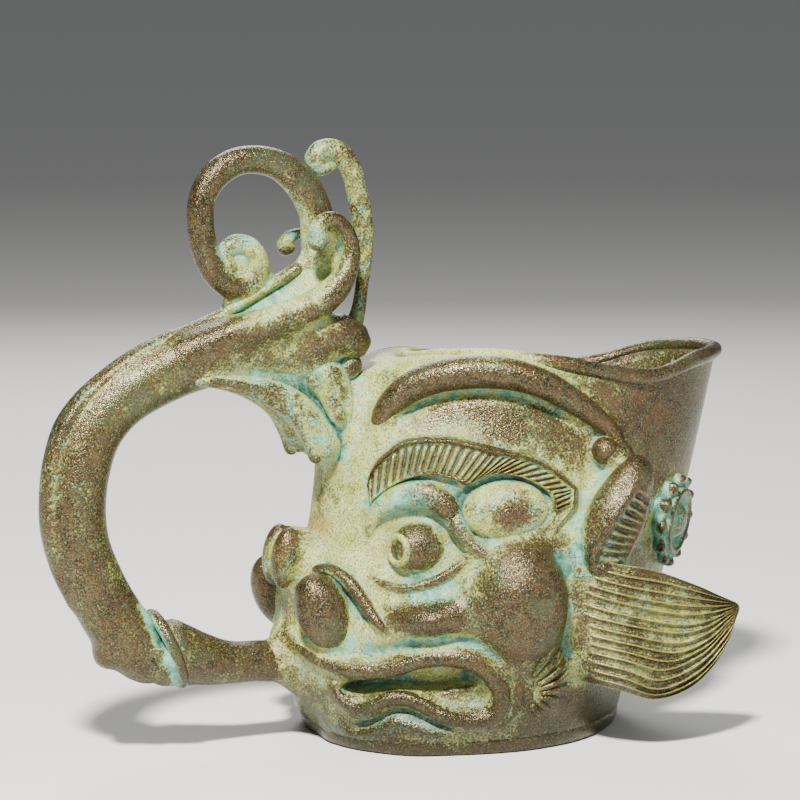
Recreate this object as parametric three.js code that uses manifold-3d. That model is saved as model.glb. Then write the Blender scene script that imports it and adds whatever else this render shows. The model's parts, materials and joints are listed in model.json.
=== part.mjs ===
// Animal-head goblet: a cast bronze drinking cup shaped as a beast's head, in millimetres.
// +Z is up, -X is the way the beast looks, and -Y is its left side. The origin is on the table, under the
// middle of the goblet. The cup, the limbs of the handle, the scrolls, horns, brows, eyes, ears, lips and
// manes are cast one by one and soldered together, so each is its own solid with a solder gap around it.
import * as THREE from "three";
import { mergeVertices } from "three/addons/utils/BufferGeometryUtils.js";
import Module from "manifold-3d";

const wasm = await Module();
wasm.setup();
const { smoothstep } = THREE.MathUtils;

// Driving dimensions of the cup.
const SOLDER_GAP = 0.3; // between pieces that touch
const WALL = 3.4; // thickness of the cup's wall
const FOOT_HEIGHT = 3; // plate that closes the cup and stands on the table
const CROWN_HEIGHT = 90; // top of the head's sections, before the rim line trims them
const RIM_RADIUS = 1.8; // rolled edge of the mouth
const RIM_FLARE = 0.6; // how far the rolled edge stands outside the middle of the wall
const RIM_SECTION = 88; // height of the section that the mouth follows
const MOUTH_FRONT = 5; // the mouth starts this far back, behind the solid forehead
const MIDLINE_FADE = 8; // the swellings of the sides die out this near to the middle plane
const RIGHT_HORN_DROP = 2.5; // the right horn sits lower than the left one
const RIGHT_LEAF = { from: 108, squash: 0.72, drop: 1 }; // the right leaf's curl is lower and flatter
const LEFT = -1; // the side that is modelled; the right side is its mirror image

// Worn brown bronze and the green patina, as the pieces show them.
const FINISHES = {
  worn: new THREE.MeshStandardMaterial({ color: 0x5a4632, roughness: 0.42, metalness: 0.75 }),
  patina: new THREE.MeshStandardMaterial({ color: 0x8c9a68, roughness: 0.62, metalness: 0.45 }),
  verdigris: new THREE.MeshStandardMaterial({ color: 0x86b39a, roughness: 0.7, metalness: 0.3 }),
};

// Horizontal sections of the head. Each is an egg: it runs from front to rear, is widest at x = widest,
// and its two ends are superellipses with their own powers.
const HEAD_SECTIONS = [
  { z: 0, front: -18, rear: 55, widest: 18, half: 31, frontPower: 2.1, rearPower: 2 },
  { z: 5, front: -20, rear: 57, widest: 19, half: 33, frontPower: 2, rearPower: 2 },
  { z: 14, front: -26.5, rear: 60, widest: 21, half: 35, frontPower: 1.8, rearPower: 2 },
  { z: 24, front: -27, rear: 63.5, widest: 23, half: 36.5, frontPower: 1.75, rearPower: 2 },
  { z: 36, front: -26, rear: 67, widest: 25, half: 36.5, frontPower: 1.75, rearPower: 2 },
  { z: 46, front: -20.6, rear: 70.5, widest: 28, half: 35, frontPower: 1.8, rearPower: 2 },
  { z: 56, front: -18.6, rear: 74, widest: 31, half: 33, frontPower: 1.85, rearPower: 2 },
  { z: 68, front: -17, rear: 77.5, widest: 35, half: 31, frontPower: 1.9, rearPower: 2 },
  { z: 78, front: -14, rear: 80.5, widest: 39, half: 30, frontPower: 1.75, rearPower: 1.9 },
  { z: 92, front: -10, rear: 84.5, widest: 42, half: 30.5, frontPower: 1.5, rearPower: 1.75 },
];

// Soft swellings and hollows of the head's side: Gaussian bumps of a height at (x, z), turned by degrees.
const MUSCLES = [
  { name: "cheek", x: 16.5, z: 37, rx: 12.5, rz: 13.5, turn: 0, height: 6 },
  { name: "pad beside the nose", x: -3.8, z: 31.6, rx: 6.4, rz: 4.2, turn: 6, height: 5.6 },
  { name: "eye socket", x: -3, z: 47, rx: 11, rz: 9, turn: 0, height: -1.5 },
  { name: "brow swell", x: 12, z: 62, rx: 16, rz: 8, turn: -15, height: 1.5 },
  { name: "inside of the mouth", x: 2, z: 16, rx: 15, rz: 5, turn: 3, height: -1.5 },
  { name: "chin", x: -14, z: 5, rx: 12, rz: 5, turn: 0, height: 1.5 },
  { name: "groove behind the cheek", x: 28, z: 24, rx: 4, rz: 14, turn: -10, height: -2 },
  { name: "neck under the mane", x: 46, z: 16, rx: 12, rz: 12, turn: 0, height: -3 },
  { name: "ear root", x: 36, z: 50, rx: 8, rz: 10, turn: -20, height: 2 },
  { name: "fold over the foot", x: -6, z: 1.5, rx: 6, rz: 3.2, turn: 0, height: 1.3 },
  { name: "fold beside the mouth", x: 24.5, z: 15.5, rx: 4.6, rz: 8, turn: -20, height: 1.6 },
];

// The slit of the mouth lies between these two edges on the chart, and is this deep: [x, z].
const SLIT_TOP = [
  [-20.4, 15.6], [-16.6, 17.3], [-13.7, 18],
  [-9.8, 19.4], [-5.8, 20.6], [-1.6, 21],
  [2.8, 20.4], [6.1, 19.2], [8.6, 17.4],
];
const SLIT_LOW = [
  [-20.4, 14.4], [-17.5, 13.6], [-13.9, 14.3],
  [-10, 15.2], [-5.8, 14.6], [-3.2, 14.4],
  [0.9, 15], [5.6, 16.2], [8.6, 16.9],
];
const SLIT_DEPTH = 5;

// Height of the mouth's edge at places along X, on each side: high over the brow, low at the sides, a lip at
// the rear. The left side stands higher.
const RIM_LEFT = [
  [-14, 84], [-8, 85.8], [0, 87.6], [8, 88.7], [18, 89.2],
  [29, 88.5], [39, 86.6], [46, 85.3], [51, 84.9], [57, 85.6],
  [65, 87.4], [72, 88.2], [78, 88.4], [86, 88.4],
];
const RIM_RIGHT = [
  [-14, 84], [-8, 85.6], [0, 87], [8, 87.4], [18, 86.2],
  [29, 84.2], [39, 82.2], [50, 81.2], [60, 81.6], [68, 83.4],
  [76, 86.6], [86, 88.4],
];

// The cup's smooth inside, taken in at the bottom as a bowl. Its front end lies behind the forehead.
const CAVITY = [
  { z: 12, front: -4, share: 0.3 },
  { z: 13.5, front: -8, share: 0.55 },
  { z: 18, front: -10, share: 0.78 },
  { z: 32, front: -11, share: 0.94 },
  { z: 55, front: -8, share: 1 },
  { z: 75, front: 2, share: 1 },
  { z: 96, front: 7, share: 1 },
];
const CAVITY_SIDE_WALL = 4; // half section to half cavity

// Curves of the handle and crest in the middle plane: [x, z, radius].
const HANDLE = [
  [-53.5, 19.8, 3.6], [-57.5, 21.2, 5.4], [-61.2, 23.6, 6.4], [-64.8, 27.8, 7.1],
  [-68, 32.6, 7], [-71.8, 39.8, 6.7], [-74.6, 47.4, 6.6], [-75.6, 56, 6.6],
  [-74.6, 65, 6.4], [-71.6, 73, 6.3], [-65.6, 80, 6.4], [-57.4, 85, 6.6],
  [-48, 88.4, 7], [-38, 90.6, 7.6], [-28, 91.4, 7.8], [-20.4, 90.6, 7],
  [-15.6, 88.2, 5.4],
];
const TONGUE = [
  [-60.2, 24.8, 7], [-56, 23.3, 7.7], [-51.5, 21.9, 7], [-47.5, 20.8, 6.1],
  [-43, 19.7, 5.3], [-38.7, 19.2, 4.8], [-34, 19.1, 4.7], [-30, 18.7, 4.7],
  [-25, 17.9, 4.2], [-18, 17.2, 3.2], [-10, 17, 2.4],
];
const SPINE = [
  [-76.5, 36, 0.9], [-80, 44, 1.6], [-81.5, 52, 2.2], [-81.7, 60, 2.2],
  [-80.7, 68, 2.1], [-78.2, 75.2, 2.1], [-74, 80.8, 2], [-68.2, 85.6, 1.9],
  [-62, 89.6, 1.8], [-55.3, 92.8, 1.7], [-49, 95.2, 1.5], [-42, 98, 1.4],
  [-36, 101.2, 1.4], [-30.5, 104.2, 1.4], [-26, 106.6, 1.4], [-22.5, 109, 1.4],
];
const NECK = [
  [-23, 89, 6.2], [-19, 83.8, 7], [-16.4, 78, 7.2], [-13, 72, 7],
  [-9.5, 66, 6],
];
// The bars of the two spiral ends stop where the spiral closes, and a ball is its eye.
const RING_SCROLL = [
  [-19, 106, 3.2], [-18.4, 110.6, 3.6], [-18.4, 115.4, 3.8], [-18.8, 120.5, 3.8],
  [-22.4, 127.2, 3.8], [-28.6, 131.6, 3.3], [-36.2, 132.4, 3.1], [-42.2, 129.6, 3.2],
  [-45.6, 124.6, 3], [-46.2, 119, 3], [-45.2, 112.6, 3], [-42.6, 107.4, 3],
  [-38.6, 104.4, 2.9], [-34.4, 105.6, 2.7], [-32.8, 109.4, 2.6], [-34.8, 113, 2.4],
  [-38.2, 113.8, 2.2],
];
const RING_EYE = { at: [-38, 0, 110.2], radius: 2.7 };
const TENDRIL = [
  [-9.8, 94, 2.2], [-8.4, 98, 1.7], [-7.6, 103, 1.5], [-6.8, 109.3, 1.7],
  [-7.1, 115.7, 2.3], [-7.9, 121, 2.5], [-8.9, 126, 2.4], [-10.4, 130.6, 2.4],
  [-13.4, 134, 2.5], [-16.8, 134.5, 2.4], [-18.9, 132.9, 2.3], [-18.6, 130.9, 1.9],
];
const TENDRIL_EYE = { at: [-16, 0, 131.4], radius: 2.1 };

// Paired limbs of the crest. The leaf's rolled edge is [x, y, z, radius], the others lie in a plane beside
// the middle one.
const LEAF_RIDGE = [
  [-50, -4.6, 91.4, 1.4], [-45, -6, 93.4, 2.2], [-37.7, -7, 95.8, 2.9],
  [-29.4, -7.8, 98, 3.3], [-21.8, -8.4, 100.8, 3.5], [-16.8, -8.8, 104.8, 3],
  [-14.3, -8.8, 109.4, 2.3], [-13.7, -8.8, 113.2, 1.8], [-14.9, -8.9, 116.8, 1.6],
  [-17.6, -9, 119.2, 1.7], [-20.4, -9.1, 119.2, 1.8], [-22.2, -9.3, 117.2, 2],
  [-22.2, -9.5, 114.8, 2.2], [-21, -9.6, 112.8, 1.8],
];
// where the leaf's hollow face meets the middle plane: [x, z]
const LEAF_INNER = [
  [-52, 94], [-46, 96], [-40, 98.8], [-33, 102.6], [-27.5, 105.6],
  [-24, 108.4], [-22.4, 111.6], [-21.6, 114.4], [-20.8, 117],
];
const LOBE = [
  [-21, 92.4, 4.4], [-16.5, 93.2, 4.9], [-13, 92.8, 4.7], [-11.4, 91.4, 4],
];
const LOBE_Y = 5.2;
const LOBE_LOW = [
  [-15.4, 87, 2.8], [-12.6, 85.8, 3.4], [-10.4, 84, 3.4],
];
const LOBE_LOW_Y = 4.2;
const BUD = [
  [-50.5, 84.6, 0.9], [-43, 83.8, 1.8], [-35, 82, 2.7], [-28, 78.8, 3.4],
  [-22.6, 73.8, 3.9], [-19.6, 69, 4.1], [-18.2, 66.2, 3.6], [-18.6, 64.6, 2.4],
];
const BUD_EDGE = [
  [-47, 84.6, 0.7], [-38, 82.8, 1.1], [-31, 79.8, 1.3], [-26.4, 75, 1.4],
  [-23.4, 69.8, 1.5], [-22.2, 66.6, 1.6], [-21.4, 64.8, 1.5],
];
const BUD_SMALL = [
  [-24, 84.6, 1.4], [-20.6, 81.6, 2], [-18, 77.8, 2.3], [-16.6, 74.4, 2.1], [-16.8, 72.6, 1.3],
];
const BUD_Y = 5.6;
const BUD_EDGE_Y = 7.4;
const BUD_SMALL_Y = 7.6;

// Bars that lie on the head's side, in chart places of the left side: [x, z, radius, height of the crest over
// the skin].
const HORN = [
  [-9.6, 71.6, 1.2, 0.6], [-8.6, 74.2, 2.3, 2.2], [-6.2, 77.8, 3, 3.4],
  [-2.6, 81.2, 3.4, 4.2], [2, 83.6, 3.6, 4.8], [7.6, 84.9, 3.7, 5],
  [13.2, 85.2, 3.7, 5], [19.3, 84.4, 3.5, 4.8], [25.6, 82, 3.2, 4.5],
  [31.6, 78.2, 2.8, 4], [36.8, 74.2, 2.4, 3.6], [40.3, 70.6, 2, 3.4],
  [41.3, 67.2, 1.7, 3.4],
];
const HORN_CURL = { at: [37.7, 67.2], radius: 3.2, sunk: -1.8 };
const LID_UPPER = [
  [-13, 48.4, 0.8, 0.7], [-12.2, 51.6, 1.5, 1.7], [-10.4, 55, 2.2, 2.6],
  [-7.6, 57.4, 2.7, 3.2], [-4.6, 58.6, 3, 3.5], [-1.6, 58.6, 3, 3.7],
  [1, 57, 2.9, 3.8], [2.8, 54.4, 2.6, 3.6], [3.8, 51.6, 2.3, 3.3],
  [5, 49, 2, 3], [6.4, 47, 1.7, 2.4], [8.4, 45.6, 1.3, 1.6],
  [10.4, 44.8, 0.8, 0.6],
];
const LID_LOWER = [
  [-13.6, 40.2, 0.5, 0.2], [-11.6, 38.9, 0.9, 1.1], [-8.8, 38.2, 1, 1.5],
  [-5.6, 38.6, 1.1, 1.7], [-2.8, 39.6, 1.1, 1.7], [-0.2, 40.8, 1.1, 1.7],
  [2.2, 42.4, 1, 1.5], [4.2, 43.9, 0.8, 1], [6.2, 45.2, 0.6, 0.5],
];
const LIPS = [
  [-26.8, 25.6, 0.9, 1.2], [-25, 23, 1.6, 2.2], [-21.2, 20.4, 1.9, 2.7],
  [-17.6, 19.6, 1.9, 2.7], [-13.2, 19.7, 1.9, 2.7], [-9.4, 20.9, 1.9, 2.7],
  [-5.6, 22.5, 1.9, 2.7], [-1.8, 23.3, 2, 2.8], [2, 23.2, 2, 2.8],
  [5.6, 21.9, 2.1, 2.9], [8.9, 19.1, 2.2, 3], [11, 15.6, 2.3, 3.1],
  [11.2, 12.2, 2.2, 3], [9.4, 9.4, 2, 2.8], [5.6, 8.5, 1.8, 2.6],
  [2, 9.1, 1.7, 2.6], [-1.6, 10.3, 1.7, 2.7], [-5.2, 12.3, 1.7, 2.9],
  [-8.4, 13.5, 1.7, 2.9], [-11.4, 13.2, 1.7, 2.9], [-14, 11.6, 1.6, 2.7],
  [-16.4, 10.9, 1.5, 2.5], [-18.8, 12.4, 1.3, 2.2], [-20.6, 15, 0.9, 1.4],
];
const NOSTRIL_CURL = [
  [-21.8, 40.2, 0.8, 2.6], [-19.6, 40.6, 1.3, 3.2], [-17.4, 38.8, 1.5, 3],
  [-15.6, 35.4, 1.5, 2.6], [-13.8, 31.8, 1.3, 2.2], [-11.8, 29.2, 0.9, 1.2],
];
// strokes beside the mouth: from, over and to
const WHISKERS = [
  [[18.3, 18.4], [20.2, 22.4], [22.6, 26.6]],
  [[18.8, 17.4], [21.8, 20.8], [25.2, 24.2]],
  [[19.6, 16.4], [23.2, 18.8], [27.2, 21.4]],
  [[20.2, 15.3], [24.2, 16.8], [28.4, 18.2]],
  [[20.4, 14.2], [24.2, 14.8], [28.6, 15]],
  [[20.2, 13.2], [22.8, 12.8], [25.7, 12]],
  [[19.6, 12.2], [21.4, 11.2], [23.4, 9.8]],
  [[18.6, 11.6], [19.6, 10.2], [20.7, 8.6]],
];
const WHISKER_PAD = { at: [21.5, 15.2], size: [4, 7.4, 1.7], sunk: 0.7, turn: 10 };

// Ribs of the brow's comb: [outer x, outer z, inner x, inner z]. The border stands outside them.
const BROW_RIBS = [
  [-12.4, 57.2, -12.3, 54], [-10.5, 62.8, -11.2, 56.4], [-7.6, 66.6, -9, 58.8],
  [-4.8, 68.4, -6.5, 60.8], [-2.2, 68.8, -4.2, 62], [0.3, 68.8, -2, 62.6],
  [3.1, 68.9, 0.3, 62.5], [6, 68.4, 2.5, 61.9], [9.7, 67.7, 4.5, 61.2],
  [12.4, 67.1, 6.1, 60.4], [15.2, 66.6, 8.2, 61.7], [17.7, 66, 11.1, 62.8],
  [20.2, 65, 13.9, 62.7], [23.4, 63.1, 17.5, 62.1], [25.6, 61.2, 20.8, 60.4],
  [27.7, 59.2, 23, 58.7], [27.8, 58, 24, 56.7], [27.2, 55.8, 24.1, 54.8],
  [25.9, 53.7, 24, 53.3], [19.9, 49, 20.1, 49.3],
];
const BROW = { margin: 2.6, crest: 0.16, teeth: 9, border: 2.7, tooth: 1.9, groove: 1.2, sunk: 1.8 };

const TEMPLE_BOSS = { at: [13.8, 55], size: [9.8, 6.9, 4.4], sunk: 1.2, turn: -4 };
const EYE = { at: [-4, 47.2], radius: 6.4, long: 7.8, sunk: 1.9 };
const PUPIL = { look: [-0.955, -0.29, 0.03], radius: 2.95, tube: 0.8, out: 7 };
const NOSE = { at: [-27.4, -2.8, 42.8], size: [3.4, 3.3, 7], turn: -8 };
const NOSTRIL = { at: [-22.6, -13.6, 32], size: [6.3, 6, 9.4], turn: 25 };
const CHEEK = { at: [15.6, 35.4], size: [10.2, 12.6, 7.6], sunk: 4.6 };
const NOSE_ROOT = { at: [-22.6, 0, 40.2], size: [5, 6.4, 6.6] };
const MANE_ROOT = { at: [38.5, -35, 27.5], size: [10, 5, 9], turn: -12 };

// The mane: locks from the top one to the keel, each from the cheek back to the tip in chart places, and how
// far out the top lock and the middle one lie.
const MANE_RIBS = [
  [[30.6, 45], [36.2, 43.2], [45, 41.4], [55.2, 37.4], [61.2, 34.6], [66.2, 32.4]],
  [[27.4, 37.4], [38.6, 34.2], [50.6, 31.4], [58.4, 31.2], [63, 31.6], [66.6, 32]],
  [[26.6, 32.4], [38.8, 29.4], [49.8, 27.2], [56.9, 28], [62.2, 30], [66.8, 31.6]],
  [[26.6, 28], [38.6, 25.2], [49.2, 22.8], [57.2, 25], [62.6, 28.4], [67, 31.2]],
  [[27.6, 23.6], [37.5, 21.6], [46.4, 19], [55.6, 21.6], [62.4, 26.6], [67, 30.8]],
  [[29.2, 19.2], [37.6, 17.4], [45.6, 14.6], [54.8, 17.4], [62.2, 23.4], [66.8, 30]],
  [[31, 15.6], [37.6, 14.2], [45.4, 12], [54.4, 14.4], [61.8, 20.8], [66.4, 29.2]],
];
const MANE_OUT = { edge: [-41.8, -43.6, -44.4, -44.2, -43.4], middle: [-43.2, -45.2, -45.6, -44.9, -43.6] };
const MANE = { locks: 7, furrow: 0.8, thick: 7, inmost: -24, rootDepth: 0.7 };

// The ear: a leaf with a round section, open towards the rear: [x, y, z, radius].
const EAR_AXIS = [
  [34.6, -36, 38.6, 2.4], [34.8, -37, 42.6, 5.6], [36.2, -37.8, 48.2, 7],
  [38.2, -38.4, 53.3, 7.2], [40.7, -38.4, 58.4, 6.2], [43, -37.8, 63.4, 4.2],
  [44.2, -36.8, 66.6, 2.2],
];
const EAR = { flat: 0.85, hollow: 0.5, sides: 14, rings: 11 };

// A rosette of petals round a boss, on the rear quarter of the cup. Its profile gives how far out and how
// high over the skin it goes.
const ROSETTE = { at: [61, 48.6], radius: 11, sunk: 5.5 };
const ROSETTE_PROFILE = [
  [2.6, 2.9], [4.7, 0.9], [6.8, 2.4], [8, 1.2], [10.2, 1.5], [11, 0],
];
const PETALS = { count: 12, depth: 1.2 };
const BEADS = { low: 28, high: 78, count: 8, thin: 1.1, swell: 1.3 };

// Smooth curve through [place, value] knots: a cubic whose slopes are central differences.
function through(knots, at) {
  const last = knots.length - 1;
  const t = THREE.MathUtils.clamp(at, knots[0][0], knots[last][0]);
  let i = 0;
  while (i < last - 1 && t > knots[i + 1][0]) i += 1;
  const slope = (k) => {
    const a = knots[Math.max(k - 1, 0)];
    const b = knots[Math.min(k + 1, last)];
    return (b[1] - a[1]) / (b[0] - a[0]);
  };
  const span = knots[i + 1][0] - knots[i][0];
  const s = (t - knots[i][0]) / span;
  return (
    (2 * s ** 3 - 3 * s ** 2 + 1) * knots[i][1] +
    (s ** 3 - 2 * s ** 2 + s) * span * slope(i) +
    (3 * s ** 2 - 2 * s ** 3) * knots[i + 1][1] +
    (s ** 3 - s ** 2) * span * slope(i + 1)
  );
}

const SECTION_KNOTS = {};
for (const key of ["front", "rear", "widest", "half", "frontPower", "rearPower"]) {
  SECTION_KNOTS[key] = HEAD_SECTIONS.map((section) => [section.z, section[key]]);
}

function sectionAt(z) {
  const found = {};
  for (const key of Object.keys(SECTION_KNOTS)) found[key] = through(SECTION_KNOTS[key], z);
  return found;
}

// Half width of the head at (x, z), before the swellings.
function halfWidth(x, z) {
  const s = sectionAt(z);
  const ahead = x < s.widest;
  const reach = ahead ? s.widest - s.front : s.rear - s.widest;
  const share = Math.min(Math.abs(x - s.widest) / reach, 1);
  const power = ahead ? s.frontPower : s.rearPower;
  return s.half * Math.max(1 - share ** power, 0) ** (1 / power);
}

// Swellings of the head's side, with the slit of the mouth.
function swell(x, z) {
  let sum = -SLIT_DEPTH * slit(x, z);
  for (const m of MUSCLES) {
    const turn = THREE.MathUtils.degToRad(m.turn);
    const a = ((x - m.x) * Math.cos(turn) + (z - m.z) * Math.sin(turn)) / m.rx;
    const b = ((z - m.z) * Math.cos(turn) - (x - m.x) * Math.sin(turn)) / m.rz;
    sum += m.height * Math.exp(-(a * a + b * b));
  }
  return sum;
}

// 1 inside the slit of the mouth and 0 outside it.
function slit(x, z) {
  const [top, low] = [through(SLIT_TOP, x), through(SLIT_LOW, x)];
  const between = smoothstep(z, low - 0.3, low + 0.9) * smoothstep(top - z, -0.3, 1.2);
  return between * smoothstep(x, -20.6, -18.5) * smoothstep(8.8 - x, 0, 5);
}

// Height of the mouth's edge. It changes over from one side to the other across the middle.
function rimHeight(x, y) {
  return THREE.MathUtils.lerp(through(RIM_LEFT, x), through(RIM_RIGHT, x), smoothstep(y, -12, 12));
}

// Outward direction of the head's left side at (x, z), from differences of the half width.
function outward(x, z) {
  const step = 0.2;
  const alongX = (halfWidth(x + step, z) - halfWidth(x - step, z)) / (2 * step);
  const alongZ = (halfWidth(x, z + step) - halfWidth(x, z - step)) / (2 * step);
  return new THREE.Vector3(-alongX, LEFT, -alongZ).normalize();
}

// Point of the left side, height mm above the skin. (x, z) is the chart that the face is drawn on.
function skin(x, z, height = 0) {
  const lift = outward(x, z).multiplyScalar(swell(x, z) + height);
  return new THREE.Vector3(x, LEFT * halfWidth(x, z), z).add(lift);
}

// Solid through rings of equally many points: a torus, or a bar with a flat fan over each end. The squares
// of the second half are split the other way, so a shape on the middle plane is symmetric.
function loft(rings, closed = false) {
  const count = rings[0].length;
  const points = rings.flat();
  const faces = [];
  const bands = closed ? rings.length : rings.length - 1;
  for (let i = 0; i < bands; i += 1) {
    const next = (i + 1) % rings.length;
    for (let j = 0; j < count; j += 1) {
      const right = (j + 1) % count;
      const [a, b] = [i * count + j, i * count + right];
      const [c, d] = [next * count + j, next * count + right];
      const secondHalf = closed ? i >= bands / 2 : j >= count / 2;
      if (secondHalf) faces.push(a, b, c, b, d, c);
      else faces.push(a, b, d, a, d, c);
    }
  }
  for (const end of closed ? [] : [0, rings.length - 1]) {
    const middle = new THREE.Vector3();
    for (const p of rings[end]) middle.addScaledVector(p, 1 / count);
    points.push(middle);
    for (let j = 0; j < count; j += 1) {
      const [a, b] = [end * count + j, end * count + ((j + 1) % count)];
      if (end === 0) faces.push(points.length - 1, b, a);
      else faces.push(points.length - 1, a, b);
    }
  }
  const geometry = new THREE.BufferGeometry().setFromPoints(points);
  geometry.setIndex(faces);
  return solid(facingOut(geometry));
}

// Turns a closed surface the right way round where its faces point inwards.
function facingOut(geometry) {
  const index = geometry.index.array;
  const places = geometry.getAttribute("position");
  const [a, b, c] = [new THREE.Vector3(), new THREE.Vector3(), new THREE.Vector3()];
  let volume = 0;
  for (let i = 0; i < index.length; i += 3) {
    a.fromBufferAttribute(places, index[i]);
    b.fromBufferAttribute(places, index[i + 1]);
    c.fromBufferAttribute(places, index[i + 2]);
    volume += a.dot(b.cross(c));
  }
  if (volume < 0) {
    for (let i = 0; i < index.length; i += 3) [index[i], index[i + 1]] = [index[i + 1], index[i]];
  }
  return geometry;
}

// Bar with an oval section along a curve. Each knot is { at, up, wide, high }: its place, and the half sizes
// of the oval across, and along up.
function bar(knots, sides, steps) {
  const curve = new THREE.CatmullRomCurve3(knots.map((k) => k.at), false, "centripetal");
  const last = knots.length - 1;
  const sizes = (key) => knots.map((k, i) => [i / last, k[key]]);
  const [wides, highs] = [sizes("wide"), sizes("high")];
  const rings = [];
  for (let i = 0; i <= steps; i += 1) {
    const t = i / steps;
    const middle = curve.getPoint(t);
    const along = curve.getTangent(t);
    const knot = Math.min(Math.floor(t * last), last - 1);
    const up = knots[knot].up.clone().lerp(knots[knot + 1].up, t * last - knot);
    up.projectOnPlane(along).normalize();
    const across = new THREE.Vector3().crossVectors(along, up);
    const ring = [];
    for (let j = 0; j < sides; j += 1) {
      const angle = (j / sides) * Math.PI * 2;
      const p = middle.clone().addScaledVector(across, Math.cos(angle) * through(wides, t));
      ring.push(p.addScaledVector(up, Math.sin(angle) * through(highs, t)));
    }
    rings.push(ring);
  }
  return loft(rings);
}

// Bar in a plane of constant y, from [x, z, radius] knots. flat is its size in Y over its size in the plane.
function planeBar(knots, { flat = 1, sides = 8, steps = 16, y = 0 } = {}) {
  const up = new THREE.Vector3(0, 1, 0);
  const ovals = knots.map(([x, z, r]) => ({ at: new THREE.Vector3(x, y, z), up, wide: r, high: r * flat }));
  return bar(ovals, sides, steps);
}

// Bar on the head's side through chart knots of x, z, radius and the height of its crest over the skin.
function chartBar(knots, sides, steps) {
  const rounds = knots.map(([x, z, radius, crest]) => {
    return { at: skin(x, z, crest - radius), up: outward(x, z), wide: radius, high: radius };
  });
  return bar(rounds, sides, steps);
}

// Ball of three half sizes at a place, turned about the Y axis by degrees, and then to face a direction.
function ball(at, size, { turn = 0, facing = new THREE.Vector3(0, LEFT, 0), segments = 12 } = {}) {
  const sphere = new THREE.SphereGeometry(1, segments, Math.round(segments * 0.65));
  sphere.scale(...size);
  sphere.rotateY(THREE.MathUtils.degToRad(turn));
  const aside = new THREE.Vector3(0, LEFT, 0);
  sphere.applyQuaternion(new THREE.Quaternion().setFromUnitVectors(aside, facing));
  return solid(sphere.translate(...at));
}

// Dome on the head's side. Its middle lies sunk mm under the skin.
function dome({ at: [x, z], size: [rx, rz, high], sunk = 1.5, turn = 0 }) {
  return ball(skin(x, z, -sunk), [rx, high, rz], { turn: -turn, facing: outward(x, z) });
}

// Slab over a grid: outer(s, t) and inner(s, t) give its two faces, for s and t from 0 to 1.
function slab(outer, inner, acrossSteps, alongSteps) {
  const rings = [];
  for (let i = 0; i <= alongSteps; i += 1) {
    const ring = [];
    for (let j = 0; j <= acrossSteps; j += 1) ring.push(outer(i / alongSteps, j / acrossSteps));
    for (let j = acrossSteps; j >= 0; j -= 1) ring.push(inner(i / alongSteps, j / acrossSteps));
    rings.push(ring);
  }
  return loft(rings);
}

const curveThrough = (points) => new THREE.CatmullRomCurve3(points.map((p) => new THREE.Vector3(...p)));

// Solid of a closed surface, for cutting and joining.
function solid(geometry) {
  const bare = geometry.clone();
  bare.deleteAttribute("normal");
  bare.deleteAttribute("uv");
  const merged = mergeVertices(bare, 1e-4);
  const mesh = new wasm.Mesh({
    numProp: 3,
    vertProperties: merged.attributes.position.array,
    triVerts: new Uint32Array(merged.index.array),
  });
  return new wasm.Manifold(mesh);
}

function geometryOf(body) {
  const mesh = body.getMesh();
  const places = new Float32Array(mesh.numVert * 3);
  for (let i = 0; i < mesh.numVert; i += 1) {
    const start = i * mesh.numProp;
    places.set(mesh.vertProperties.subarray(start, start + 3), i * 3);
  }
  const geometry = new THREE.BufferGeometry();
  geometry.setAttribute("position", new THREE.BufferAttribute(places, 3));
  geometry.setIndex(new THREE.BufferAttribute(new Uint32Array(mesh.triVerts), 1));
  return geometry;
}

// The same body with each face moved out by the solder gap, which cuts its neighbours back. A vertex moves
// along the mean of its faces' directions, far enough to clear the face that leans from it most.
function grown(body) {
  const geometry = geometryOf(body);
  const places = geometry.getAttribute("position");
  const index = geometry.index.array;
  const around = Array.from({ length: places.count }, () => []);
  const triangle = new THREE.Triangle();
  for (let i = 0; i < index.length; i += 3) {
    triangle.setFromAttributeAndIndices(places, index[i], index[i + 1], index[i + 2]);
    const facing = triangle.getNormal(new THREE.Vector3());
    for (let k = 0; k < 3; k += 1) around[index[i + k]].push(facing);
  }
  around.forEach((facings, i) => {
    const mean = new THREE.Vector3();
    for (const facing of facings) mean.add(facing);
    mean.normalize();
    const lean = Math.min(...facings.map((facing) => facing.dot(mean)));
    mean.multiplyScalar(SOLDER_GAP / Math.max(lean, 0.35));
    places.setXYZ(i, places.getX(i) + mean.x, places.getY(i) + mean.y, places.getZ(i) + mean.z);
  });
  return solid(geometry);
}

const largest = (body) => body.decompose().sort((a, b) => b.volume() - a.volume())[0];

const goblet = new THREE.Group();
const placed = []; // the room that each piece in place takes up, with its gap, and that room's box

function keep(name, finish, body, room) {
  placed.push({ room, box: room.boundingBox() });
  const mesh = new THREE.Mesh(geometryOf(body), FINISHES[finish]);
  mesh.name = name;
  goblet.add(mesh);
}

// Cuts a piece back from all that is in place already.
function fitted(shape) {
  let body = shape;
  const box = body.boundingBox();
  for (const other of placed) {
    const apart = [0, 1, 2].some((k) => other.box.min[k] > box.max[k] || other.box.max[k] < box.min[k]);
    if (!apart) body = body.subtract(other.room);
  }
  return largest(body);
}

// Puts a piece in place. Later pieces stay clear of filled, the piece without its hollow.
function place(name, finish, shape, filled = shape) {
  keep(name, finish, fitted(shape), grown(filled));
}

// Puts a left piece in place, and its mirror image on the right.
function placePair(name, finish, shape) {
  const left = fitted(shape);
  const room = grown(shape);
  keep(name + "_left", finish, left, room);
  keep(name + "_right", finish, left.mirror([0, 1, 0]), room.mirror([0, 1, 0]));
}

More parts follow.
